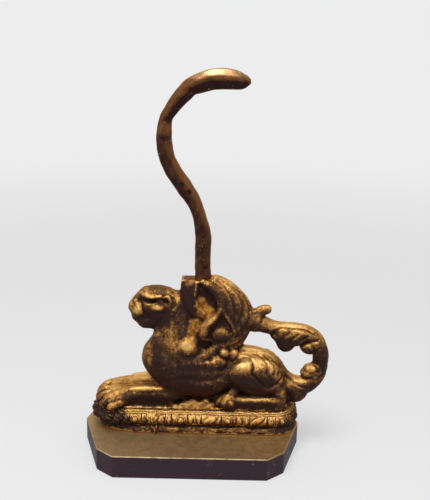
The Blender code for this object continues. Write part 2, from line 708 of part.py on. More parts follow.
def model_wings(clay):
    """Both wings as one deep plate, with long feathers and a hollow behind the rolled front edge."""
    clay.stand(wing_station, wing_lift)
    outline = [(-35, 35.5), (-37, 30.5), (-35.5, 18.5), (-32, 7.5), (-27, -0.5), (-23, -6.5), (-24, -16.5),
        (-21, -25.5), (-13, -32.5)]
    outline += [(-3, -38.5), (7, -41.5), (16, -39.5), (24, -33.5), (30.5, -24), (34.5, -12.5), (35.7, -1),
        (33.3, 9)]
    outline += [(28, 18.5), (19, 28.5), (7, 37.5), (-5, 41.5), (-15, 39), (-25, 37.5)]
    hollow = [(-23, 38.5), (-15, 35.5), (-7, 28.5), (-3, 19.5), (-2.5, 11.5), (-6, 4.5), (-13, -1.5),
        (-19, -3.5), (-24, 3.5), (-26, 16.5), (-25, 30.5)]
    volute = [(0, 8.5), (6, 3.5), (12, -4.5), (13, -12.5), (8, -20.5), (0, -25.5), (-7, -22.5),
        (-10, -15.5), (-8, -7.5), (-4, 0.5)]
    clay.plate(outline, wing_thickness, [(hollow, 13, 3), (volute, 14.5, 13.5)], blend=4)
    clay.ball((-2, 0, -30.5), (25, 16.5, 15), blend=7)
    for groove in (
        [(-6, 42.5), (2, 36.5), (7.5, 29.5), (11, 22.5), (13.3, 15.5), (14.3, 7.5), (16, 0.5)],
        [(1, 41.5), (11, 34.5), (18, 26.5), (22, 18.5), (23, 9.5), (21, 1.5), (17, -6.5)],
        [(7, 40.5), (18, 31.5), (26, 22), (29, 13.5), (30, 4.5), (29, -4.5), (25.5, -12.5), (19, -20.5)],
        [(13, 36.5), (24, 26), (31, 17), (33.5, 7.5), (34, -3.5), (31, -14), (24, -24.5)],
    ):
        clay.score(groove, 1.15, 0.9, 3.2, far=-2, fade=0.2, seen=-14)
    clay.score([(29, -2.5), (24, -10.5), (19, -16.5), (16, -22.5)], 0.9, 0.9, 2.4, far=-4, seen=-14)
    clay.score([(32, -13.5), (25, -21.5), (17, -28.5), (6, -33.5)], 0.9, 0.9, 2.4, far=-4, seen=-14)
    arch = [(-18, -10, 37.5, 3), (-11.5, -12, 34.5, 4), (-5, -13, 28, 4.6), (-0.6, -13.5, 20.5, 4.6)]
    clay.rope(arch + [(1, -14.5, 12.5, 4), (1.5, -15.5, 7.5, 3)], blend=4)


def model_wing_curl(clay):
    """The front edge comes down as a band in an S, with a branch behind it and a rounded lump between."""
    clay.stand(wing_station, wing_lift)
    recess = [(1.5, -16.5, 3.5, 3), (-0.5, -16.5, -3, 5), (3.5, -16.5, -5.5, 6), (7.5, -16.5, -5.5, 4)]
    clay.rope(recess, blend=2, carve=True, flat=0.6)
    clay.ball((1, -12.5, -18.5), (10.5, 7, 8.6), blend=1.6)
    band = [(0.6, -15.5, 9.5, 3), (-3, -15.5, 2.5, 4.4), (-9, -15.5, -3.5, 5.4), (-14, -15.5, -9.5, 5.8)]
    clay.rope(band + [(-16, -15, -15.5, 5.8), (-16, -14.5, -21, 5.2), (-13, -14, -25, 4.2)], blend=2.4)
    crest = [(0.4, -18, 11.5, 1.5), (-2, -19, 5.5, 1.8), (-7, -20, 0, 1.9), (-11.5, -20.2, -5, 1.9)]
    clay.rope(crest + [(-13.6, -19.6, -10, 1.8), (-14.6, -18.6, -15.5, 1.6)], blend=2.2)
    branch = [(1, -17, 11, 1.4), (5, -17, 6, 1.6), (9.5, -17, -0.5, 1.8), (13, -16, -7, 2)]
    clay.rope(branch + [(15, -15, -13.5, 1.6)], blend=2)
    clay.ball((-13, -17.5, -29.9), (8.5, 6.5, 5), 12, blend=2.4, carve=True)


def model_rod_boss(clay):
    """The socket for the rod, with a broad lip that hangs in front of it."""
    clay.stand(rod_offset, rod_seat_height)
    wide, deep = boss_width * 1000, boss_depth * 1000
    clay.block((-5.1 - wide / 2, -deep / 2, -9), (-5.1 + wide / 2, deep / 2, 0.6), 1.6, blend=2)
    clay.rope([(0, 0, -8, 8), (0, 0, -30, 6), (0, 0, -70, 13)], blend=3)
    clay.rope([(-17.1, 0, -9, 5), (-16.6, -3, -17, 6), (-13.6, -4, -29, 7)], blend=3)
    clay.rope([(-3.6, -4, -37, 8), (-8.6, -4.5, -47, 9), (-10.1, -7, -61, 10),
        (-10.6, -8, -74, 12)], blend=5)
    clay.score([(-15.6, -37), (-14.6, -51), (-12.6, -60), (-18.6, -67)], 0.7, 2.6, 2.4, far=-4, seen=-15)
    sheet = [(-13.4, -7, -8.4, 8.2), (-13.6, -9, -15, 7.8), (-12.6, -10.5, -22, 7), (-9.6, -11.5, -29, 6.2)]
    clay.rope(sheet + [(-5.1, -12, -33.6, 5), (0.4, -12.5, -35, 3.6)], blend=1.4, flat=0.62)
    edge = [(-5.8, -9.5, -1, 2), (-6.6, -11, -7, 2.2), (-7.2, -13, -15, 2.2), (-5.4, -14.4, -22, 2.1),
        (-2, -15, -28, 2)]
    clay.rope(edge + [(2.4, -15, -32, 1.7)], blend=2.4)


def model_coverts(clay):
    """The rounded edge and small feathers of the mantle over the ribs, and three lobes behind it."""
    clay.stand(wing_station, wing_lift)
    collar = [(-49, -12.5, -38.5, 6), (-42, -14, -44.5, 7), (-35, -15, -48.5, 7.4), (-25, -15, -48.5, 7.4)]
    clay.rope(collar + [(-16, -14, -44, 6.6), (-9, -13, -38, 5.8), (-4, -12, -32.5, 5)], blend=3)
    clay.rope([(-51, -13, -51.5, 8), (-41, -14, -56.5, 9), (-27, -15, -58.5, 9.4), (-13, -15, -56.5, 9),
        (-2, -13.5, -48.5, 8)], blend=4)
    for row, (first, pitch, height) in enumerate(((-44, 6.6, -51), (-47.5, 7.2, -59))):
        for index in range(7):
            z = height + 0.05 * (index - 2.6) ** 3 * (1 - 0.4 * row)
            clay.ball((first + pitch * index, -20.4, z), (4.8, 3.4, 5.4), -24, blend=1.8)
    lower = [(-46, -61.5), (-37, -64.5), (-27, -64), (-20, -66), (-13, -64.5), (-5, -64), (5, -57.5)]
    clay.score(lower, 1, 2.8, 2, far=-10, seen=-26)
    clay.ball((6, -18, -37.5), (4.6, 4, 3.8), 15, blend=1.4)
    clay.ball((14.8, -16.5, -40.5), (4.6, 4.4, 6), 10, blend=1.4)
    clay.ball((2, -19, -47.5), (3.8, 3.8, 5), 10, blend=1.4)


def model_tail(clay):
    """A thick tail that rises from the rump, arches forward into the wings and carries lapped leaves."""
    clay.stand(tail_reach)
    thick = tail_radius * 1000
    clay.rope(
        [(-51, 0, 29, thick + 4.2), (-35, 0, 22, thick + 2.8), (-22, 0, 20, thick + 1.6),
            (-11, 0, 24, thick + 0.8), (-3.5, 0, 33.5, thick)]
        + [(-0.2, 0, 47.5, thick - 0.6), (-1.6, 0, 62, thick - 0.2), (-7.5, 0, 73.5, thick + 0.2),
            (-17.5, 0, 80.5, thick - 0.2), (-31, 0, 83.5, thick - 1)]
        + [(-45, 0, 85, thick - 1.6), (-58, 0, 88, thick - 0.8), (-71, 0, 93, thick + 1.2),
            (-83, 0, 97, thick + 2.2)],
        blend=4,
    )
    # Leaves on the inner side of the tail, the big one above first
    clay.ball((-40, 0, 77.5), (15.5, 8.4, 9), 14, blend=1.5)
    clay.ball((-38, 0, 68.5), (9.5, 7.4, 9), 25, blend=3)
    clay.ball((-26, 0, 74.5), (11, 8.4, 8.5), 20, blend=2)
    clay.ball((-13.5, 0, 66), (10.5, 8, 9), 35, blend=1)
    clay.ball((-7, 0, 39), (9, 8.2, 7.6), -25, blend=1.5)
    clay.ball((-13.5, 0, 40), (4.6, 5.5, 4.6), -40, blend=2)
    clay.ball((-13, 0, 35), (8, 8, 6), blend=2)
    clay.ball((-25, 0, 14), (13, 11, 13), -10, blend=1.5)
    for line, depth, narrow, wide in (
        ([(-56, 78.5), (-51, 85.5), (-44, 89), (-35, 88.5), (-26, 88), (-17, 86.5),
            (-9, 81.5)], 1.2, 2.4, 1),
        ([(-28, 89.5), (-31, 84.5), (-34, 79.5), (-37, 72.5), (-38, 65.5)], 1, 3.2, 0.9),
        ([(-41, 87.5), (-45, 82.5), (-48, 77.5), (-49, 72.5)], 0.7, 2.4, 0.9),
        ([(-15, 86.5), (-18, 81.5), (-21, 75.5), (-25, 68.5)], 1, 3.2, 0.9),
        ([(-24, 67), (-18, 71), (-11, 74), (-4, 75.5)], 1.5, 1.3, 2.4),
        ([(-13, 50.5), (-6, 50), (0, 45.5), (1, 37.5), (-5, 29.5)], 0.9, 1.2, 2.4),
        ([(-39, 35.5), (-34, 32.5), (-30, 29.5), (-26, 26), (-20, 22.5), (-13, 20.5)], 1.4, 1.3, 2.4),
        ([(-1, 68.5), (-8, 64.5), (-14, 62.5)], 0.6, 0.9, 1.6),
        ([(-2, 42.5), (-7, 39.5), (-13, 37.5)], 0.6, 0.9, 1.6),
        ([(-55, 103.5), (-60, 102.5), (-64, 98.5), (-65, 92.5)], 1, 1.6, 1.6),
        ([(-73, 103.5), (-69, 106.5), (-65, 107), (-61, 108.5)], 0.6, 0.9, 0.9),
    ):
        clay.score(line, depth, narrow, wide, far=0, seen=-8)
    clay.rope([(-71, 0, 88.5, 7), (-68.5, 0, 98.5, 6.6), (-64.5, 0, 104.1, 5.8),
        (-58.8, 0, 106, 4.7)], blend=3)


def model_ground(clay):
    """The rough ground under the paws, a little inside the cushion's top."""
    half_length, half_depth = (v * 1000 - 1.3 for v in (plinth_length / 2 - top_step,
        plinth_depth / 2 - top_step))
    centre, corner, thick = plinth_offset * 1000, half_depth - 1.1, ground_thickness * 1000
    low, high = (centre - half_length, -half_depth, clay.axes[2][0]), (centre + half_length, 0, thick)
    cuts, x, y, z = clay.window(low, high, 5)
    counts = x.shape[0], y.shape[1]
    lumps = 0.8 * lattice_noise(counts, 2.6 / clay.cell, 1) + 0.7 * lattice_noise(counts, 6 / clay.cell, 2)
    lumps = lumps[:, :, None]
    across = np.abs(x - centre) - (half_length - corner)
    deep = np.abs(y) - (half_depth + lumps * 0.8 - corner)
    plan = np.sqrt(np.maximum(across, 0) ** 2 + np.maximum(deep, 0) ** 2)
    plan = plan + np.minimum(np.maximum(across, deep), 0) - corner
    distance = -smooth_least(-plan, thick + lumps * 0.9 - z, 2)
    clay.join(cuts, np.broadcast_to(distance, clay.field[cuts].shape).astype(np.float32), 1.5, False)


def make_lion():
    low, high = np.array(clay_box) * 1000
    clay = Clay(low, high, clay_cell * 1000)
    for model in (
        model_body,
        model_rod_boss,
        model_wings,
        model_wing_curl,
        model_tail,
        model_hindlegs,
        model_haunch_leaf,
        model_coverts,
        model_head,
        model_forelegs,
        model_ground,
    ):
        model(clay)
    floor = clay.axes[2][1] + clay.cell / 2  # closed below, under the height where it is cut flat
    field = np.maximum(clay.both(), (floor - clay.axes[2])[None, None, :].astype(np.float32))
    points, quads = skin_of(field, low, clay.cell)
    mesh = bpy.data.meshes.new("lion_casting")
    mesh.from_pydata((points / 1000 + np.array([0, 0, lion_bottom])).tolist(), [], quads.tolist())
    lion = object_from("lion_casting", mesh, worn_iron)
    skin = lion.modifiers.new("one_skin", "REMESH")
    skin.mode = "VOXEL"
    skin.voxel_size = clay_voxel
    fair = lion.modifiers.new("fairing", "SMOOTH")
    fair.factor = 0.5
    fair.iterations = int(round(clay_smoothing))
    bpy.context.view_layer.update()
    graph = bpy.context.evaluated_depsgraph_get()
    fused = bpy.data.meshes.new_from_object(lion.evaluated_get(graph))
    triangles = sum(len(face.vertices) - 2 for face in fused.polygons)
    bpy.data.meshes.remove(fused)
    thin = lion.modifiers.new("fewer_facets", "DECIMATE")
    thin.ratio = min(1, lion_triangles / triangles)
    under = box("lion_foot_cut", (0.5, 0.3, 0.05), (0, 0, lion_bottom - 0.025))
    combine(lion, under, "DIFFERENCE")
    bore = cylinder("lion_rod_hole", bore_diameter / 2, lion_bottom - 0.01, rod_seat + 0.05, (rod_offset,
        0))
    combine(lion, bore, "DIFFERENCE")
    seat = cylinder("lion_rod_seat", rod_socket / 2, rod_seat, rod_seat + 0.05, (rod_offset, 0))
    combine(lion, seat, "DIFFERENCE")
    shade(lion, 60)
    return lion


# Rod and fastenings


def rod_section():
    """A square with well rounded corners and flat faces, as a closed curve of half width 1."""
    curve = bpy.data.curves.new("rod_section", "CURVE")
    curve.dimensions = "2D"
    spline = curve.splines.new("POLY")
    sides, squareness = 16, 2.9
    spline.points.add(sides - 1)
    for step, point in enumerate(spline.points):
        angle = 2 * math.pi * (step + 0.5) / sides
        x = math.copysign(abs(math.cos(angle)) ** (2 / squareness), math.cos(angle))
        y = math.copysign(abs(math.sin(angle)) ** (2 / squareness), math.sin(angle))
        point.co = (x * rod_width / 2, y * rod_thickness / 2, 0, 1)
    spline.use_cyclic_u = True
    guide = bpy.data.objects.new("rod_section", curve)
    cutters.objects.link(guide)
    guide.hide_render = True
    guide.display_type = "WIRE"
    return guide


def make_rod():
    """The S-shaped grip, drawn thinner at its bends and thicker in the hand, with the shank below it."""
    top = grip_height - 0.0098
    curve = bpy.data.curves.new("grip", "CURVE")
    curve.dimensions = "3D"
    curve.bevel_mode = "OBJECT"
    curve.bevel_object = rod_section()
    curve.use_fill_caps = True
    spline = curve.splines.new("BEZIER")
    stations = [
        (0, rod_seat + seat_gap, 1.0),
        (-0.0001, top - 0.1622, 0.98),
        (-0.0037, top - 0.1392, 0.87),
        (-0.0131, top - 0.1161, 0.94),
        (-0.0263, top - 0.0973, 0.98),
        (-0.0360, top - 0.0796, 0.98),
        (-0.0401, top - 0.0592, 0.94),
        (-0.0382, top - 0.0387, 0.82),
        (-0.0288, top - 0.0232, 0.93),
        (-0.0147, top - 0.0086, 1.06),
        (0.0015, top - 0.0010, 1.22),
        (0.0180, top + 0.0004, 1.27),
        (0.0330, top + 0.0012, 1.12),
        (0.0398, top + 0.0028, 0.80),
        (0.0426, top + 0.0042, 0.46),
    ]
    spline.bezier_points.add(len(stations) - 1)
    spline.resolution_u = 3
    for knot, (x, z, scale) in zip(spline.bezier_points, stations):
        knot.co = (rod_offset + x, 0, z)
        knot.radius = scale
        knot.handle_left_type = knot.handle_right_type = "AUTO"
    rod = object_from("handle_rod", mesh_of_curve("handle_rod", curve), dark_iron)
    shank_end = washer_bottom() - seat_gap - nut_height - rod_end_proud
    shank = cylinder("rod_shank", shank_diameter / 2, shank_end, rod_seat + 0.01, (rod_offset, 0))
    combine(rod, shank, "UNION")
    shade(rod, 40)
    return rod


def washer_bottom():
    return boss_underside - seat_gap - washer_thickness


def make_washer():
    low = washer_bottom()
    washer = cylinder(
        "plate_washer", washer_diameter / 2, low, low + washer_thickness, (rod_offset, 0), 32, black_iron
    )
    hole = cylinder("washer_hole", bore_diameter / 2, low - 0.01, low + 0.01, (rod_offset, 0))
    combine(washer, hole, "DIFFERENCE")
    shade(washer)
    return washer


def make_nut():
    """A square nut with its lower corners taken off."""
    high = washer_bottom() - seat_gap
    shape = bmesh.new()
    middle = Matrix.Translation((rod_offset, 0, high - nut_height / 2))
    size = Matrix.Diagonal((nut_across_flats, nut_across_flats, nut_height, 1))
    bmesh.ops.create_cube(shape, size=1, matrix=middle @ size)
    nut = object_from("square_nut", mesh_from("square_nut", shape), black_iron)
    corners = nut.modifiers.new("corners", "BEVEL")
    corners.width = 0.0008
    corners.limit_method = "ANGLE"
    hole = cylinder("nut_hole", bore_diameter / 2, high - 0.03, high + 0.01, (rod_offset, 0))
    combine(nut, hole, "DIFFERENCE")
    shade(nut)
    return nut


def make_screw(side, x):
    """A slotted cheese-head screw, turned about its own axis, head down."""
    head_top = boss_underside - seat_gap
    head, shaft = screw_head_diameter / 2, screw_diameter / 2
    tip = plinth_bottom + screw_reach
    profile = [
        (0, tip),
        (shaft - 0.001, tip),
        (shaft, tip - 0.0012),
        (shaft, head_top),
        (head, head_top),
        (head, head_top - screw_head_height + 0.0008),
        (head - 0.0008, head_top - screw_head_height),
        (0, head_top - screw_head_height),
    ]
    mesh = bpy.data.meshes.new(side + "_screw_profile")
    mesh.from_pydata([(r, 0, z) for r, z in profile], [(i, i + 1) for i in range(len(profile) - 1)], [])
    screw = object_from("fixing_screw_" + side, mesh, black_iron)
    screw.location = (x, 0, 0)
    turned = screw.modifiers.new("turned", "SCREW")
    turned.steps = turned.render_steps = 24
    turned.use_merge_vertices = True
    turned.merge_threshold = 0.00001
    slot_depth = 0.0016
    low = head_top - screw_head_height
    slot = box(side + "_slot", (screw_slot_width, 0.03, 2 * slot_depth), (x, 0, low))
    combine(screw, slot, "DIFFERENCE")
    return screw


def centre_on_floor():
    """Hangs every part from one empty, which puts the middle of the whole over the origin."""
    root = bpy.data.objects.new("doorstop_frame", None)
    bpy.context.scene.collection.objects.link(root)
    bpy.context.view_layer.update()
    graph = bpy.context.evaluated_depsgraph_get()
    low, high = np.full(3, np.inf), np.full(3, -np.inf)
    for part in parts.objects:
        solid = part.evaluated_get(graph)
        mesh = solid.to_mesh()
        points = np.empty(len(mesh.vertices) * 3)
        mesh.vertices.foreach_get("co", points)
        points = points.reshape(-1, 3) + np.array(part.location)
        low, high = np.minimum(low, points.min(axis=0)), np.maximum(high, points.max(axis=0))
        solid.to_mesh_clear()
    for hung in list(parts.objects) + list(cutters.objects):
        hung.parent = root
    root.location = (-(low[0] + high[0]) / 2, -(low[1] + high[1]) / 2, 0)
    print("frame moved by", [round(v, 6) for v in root.location])


clear_scene()
parts = collection_named("winged_lion_doorstop")
cutters = collection_named("cutters", hidden=True)
worn_iron = finish("worn_bronzed_iron", (0.16, 0.09, 0.045), 0.42, 0.7)
black_iron = finish("blackened_iron", (0.045, 0.032, 0.030), 0.5, 0.5)
dark_iron = finish("handled_iron", (0.10, 0.055, 0.030), 0.36, 0.6)
make_base()
make_plinth()
make_lion()
make_rod()
make_washer()
make_nut()
for side_name, place_x in screw_places():
    make_screw(side_name, place_x)
centre_on_floor()
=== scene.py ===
import math

import bpy
import numpy as np
from mathutils import Matrix, Vector


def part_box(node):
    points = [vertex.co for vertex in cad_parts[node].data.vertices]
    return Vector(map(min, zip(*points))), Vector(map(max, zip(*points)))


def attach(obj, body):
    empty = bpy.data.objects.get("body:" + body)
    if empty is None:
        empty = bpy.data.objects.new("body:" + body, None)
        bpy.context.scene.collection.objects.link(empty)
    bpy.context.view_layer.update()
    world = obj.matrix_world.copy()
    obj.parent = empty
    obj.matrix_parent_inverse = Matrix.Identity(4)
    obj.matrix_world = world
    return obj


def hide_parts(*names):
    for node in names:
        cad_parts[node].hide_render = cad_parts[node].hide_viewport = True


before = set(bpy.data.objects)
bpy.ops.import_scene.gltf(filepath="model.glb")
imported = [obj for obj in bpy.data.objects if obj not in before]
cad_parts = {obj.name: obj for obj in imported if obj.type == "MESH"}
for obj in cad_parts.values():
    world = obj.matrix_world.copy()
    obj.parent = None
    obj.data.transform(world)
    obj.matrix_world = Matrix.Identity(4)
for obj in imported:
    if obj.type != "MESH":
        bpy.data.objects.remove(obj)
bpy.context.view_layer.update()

baseLow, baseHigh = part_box("base_casting")
middle = (baseLow.x + baseHigh.x) / 2  # the middle of the base, which the sculpture is measured from
toMetres = 0.001  # the sculpture is measured in millimetres
toMillimetres = 1000
tiny = 1e-6  # keeps a division away from 0
print("frame loaded, middle of the base at", round(middle, 5))


# Helpers for meshes

def meshObject(name, points, *groups):
    # Points in metres, and groups of faces that each have their own count of corners
    mesh = bpy.data.meshes.new(name)
    points = np.asarray(points, np.float32)
    groups = [np.asarray(group, np.int32) for group in groups]
    corners = np.concatenate([group.ravel() for group in groups])
    sides = np.concatenate([np.full(len(group), group.shape[1], np.int32) for group in groups])
    mesh.vertices.add(len(points))
    mesh.vertices.foreach_set("co", points.ravel())
    mesh.loops.add(len(corners))
    mesh.loops.foreach_set("vertex_index", corners)
    mesh.polygons.add(len(sides))
    mesh.polygons.foreach_set("loop_start", np.concatenate([[0], np.cumsum(sides)[:-1]]).astype(np.int32))
    mesh.polygons.foreach_set("use_smooth", np.ones(len(sides), bool))
    mesh.update(calc_edges=True)
    made = bpy.data.objects.new(name, mesh)
    bpy.context.scene.collection.objects.link(made)
    return made


def ringedObject(name, rings, foot, head):
    # Rings of points in millimetres (ring, place, xyz), each closed on itself, with a point below and above;
    # seen from outside, each ring runs to the right and the next one lies above it
    count, around = rings.shape[:2]
    points = np.concatenate([rings.reshape(-1, 3), [foot, head]])
    number = np.arange(count * around).reshape(count, around)
    after = np.roll(number, -1, axis=1)
    quads = np.stack([number[:-1], after[:-1], after[1:], number[1:]], axis=-1).reshape(-1, 4)
    low = np.stack([after[0], number[0], np.full(around, count * around)], axis=-1)
    high = np.stack([number[-1], after[-1], np.full(around, count * around + 1)], axis=-1)
    return meshObject(name, points * toMetres + np.array([middle, 0, 0]), quads, low, high)


def pointsOf(mesh):
    points = np.empty(len(mesh.vertices) * 3, np.float32)
    mesh.vertices.foreach_get("co", points)
    return points.reshape(-1, 3).astype(float)


def normalsOf(mesh):
    normals = np.empty(len(mesh.vertices) * 3, np.float32)
    mesh.vertices.foreach_get("normal", normals)
    return normals.reshape(-1, 3).astype(float)


def addAttribute(mesh, name, values):
    attribute = mesh.attributes.new(name, "FLOAT", "POINT")
    attribute.data.foreach_set("value", np.asarray(values, np.float32))


def addRelief(piece, near=3, wide=14, keep=0.4):
    # How far each point stands above the mesh evened out a little and a lot, in millimetres, so above 0 on a
    # crest. Each turn of evening moves a point most of the way to the mean of its neighbours
    mesh = piece.data
    edges = np.empty(len(mesh.edges) * 2, np.int32)
    mesh.edges.foreach_get("vertices", edges)
    edges = edges.reshape(-1, 2)
    points, normals = pointsOf(mesh), normalsOf(mesh)
    count = np.bincount(edges.ravel(), minlength=len(points))[:, None]
    evened = points.copy()
    for turn in range(1, wide + 1):
        total = np.zeros_like(evened)
        for axis in range(3):
            total[:, axis] = np.bincount(edges[:, 0], evened[edges[:, 1], axis], len(points))
            total[:, axis] += np.bincount(edges[:, 1], evened[edges[:, 0], axis], len(points))
        evened = keep * evened + (1 - keep) * total / np.maximum(count, 1)
        if turn in (near, wide):
            height = ((points - evened) * normals).sum(axis=1) * toMillimetres
            addAttribute(mesh, "crest" if turn == near else "form", height)
    addAttribute(mesh, "up", normals[:, 2])


def addPatches(piece, name, patches):
    # Soft patches as seen from the side: strength times exp(-(x / half width)^2 - (z / half height)^2)
    points = pointsOf(piece.data) * toMillimetres - np.array([middle * toMillimetres, 0, 0])
    amount = np.zeros(len(points))
    for x, z, wide, tall, strength in patches:
        amount += strength * np.exp(-((points[:, 0] - x) / wide) ** 2 - ((points[:, 2] - z) / tall) ** 2)
    addAttribute(piece.data, name, amount)


# Sculpture: distances on a grid over the near half of the lion, which is then doubled

def smoothLeast(a, b, blend):
    # The lesser of two distances, with the crease between them filled over the blend's width
    near = np.maximum(blend - np.abs(a - b), 0) / blend
    return np.minimum(a, b) - near * near * blend / 4


def smoothLine(points, spacing, cuts=24):
    # A Catmull-Rom line through the given points, cut finely and then taken at even spacing
    knots = np.array(points, float)
    padded = np.vstack([2 * knots[0] - knots[1], knots, 2 * knots[-1] - knots[-2]])
    a, b, c, d = padded[:-3], padded[1:-2], padded[2:-1], padded[3:]
    t = np.linspace(0, 1, cuts, endpoint=False)[None, :, None]
    a, b, c, d = (k[:, None, :] for k in (a, b, c, d))
    fine = 0.5 * (2 * b + (c - a) * t + (2 * a - 5 * b + 4 * c - d) * t**2 + (3 * b - a - 3 * c + d) * t**3)
    fine = np.vstack([fine.reshape(-1, knots.shape[1]), knots[-1]])
    steps = np.linalg.norm(np.diff(fine[:, :3], axis=0), axis=1)
    along = np.concatenate([[0], np.cumsum(steps)])
    count = max(2, int(round(along[-1] / spacing)) + 1)
    shares = np.linspace(0, along[-1], count)
    return np.stack([np.interp(shares, along, fine[:, i]) for i in range(fine.shape[1])], axis=1)


def latticeNoise(counts, step, seed):
    # Random values on a coarse lattice, joined by smooth steps
    coarse = [int(count / step) + 3 for count in counts]
    values = np.random.default_rng(seed).uniform(-1, 1, coarse).astype(np.float32)
    for axis, count in enumerate(counts):
        place = np.arange(count) / step
        first = place.astype(int)
        share = place - first
        share = (share * share * (3 - 2 * share)).astype(np.float32)
        share = share.reshape([-1 if a == axis else 1 for a in range(len(counts))])
        values = values.take(first, axis) * (1 - share) + values.take(first + 1, axis) * share
    return values


def outlineDistance(x, z, outline):
    # Distance to the nearest side of a closed outline, below 0 inside it
    nearest, inside = np.full(x.shape, 1e9), np.zeros(x.shape, bool)
    for (x1, z1), (x2, z2) in zip(outline, np.roll(outline, -1, axis=0)):
        dx, dz = x2 - x1, z2 - z1
        share = np.clip(((x - x1) * dx + (z - z1) * dz) / max(dx * dx + dz * dz, tiny), 0, 1)
        nearest = np.minimum(nearest, np.hypot(x - x1 - share * dx, z - z1 - share * dz))
        if z1 != z2:
            inside ^= ((z1 > z) != (z2 > z)) & (x < x1 + (z - z1) * dx / dz)
    return np.where(inside, -nearest, nearest)


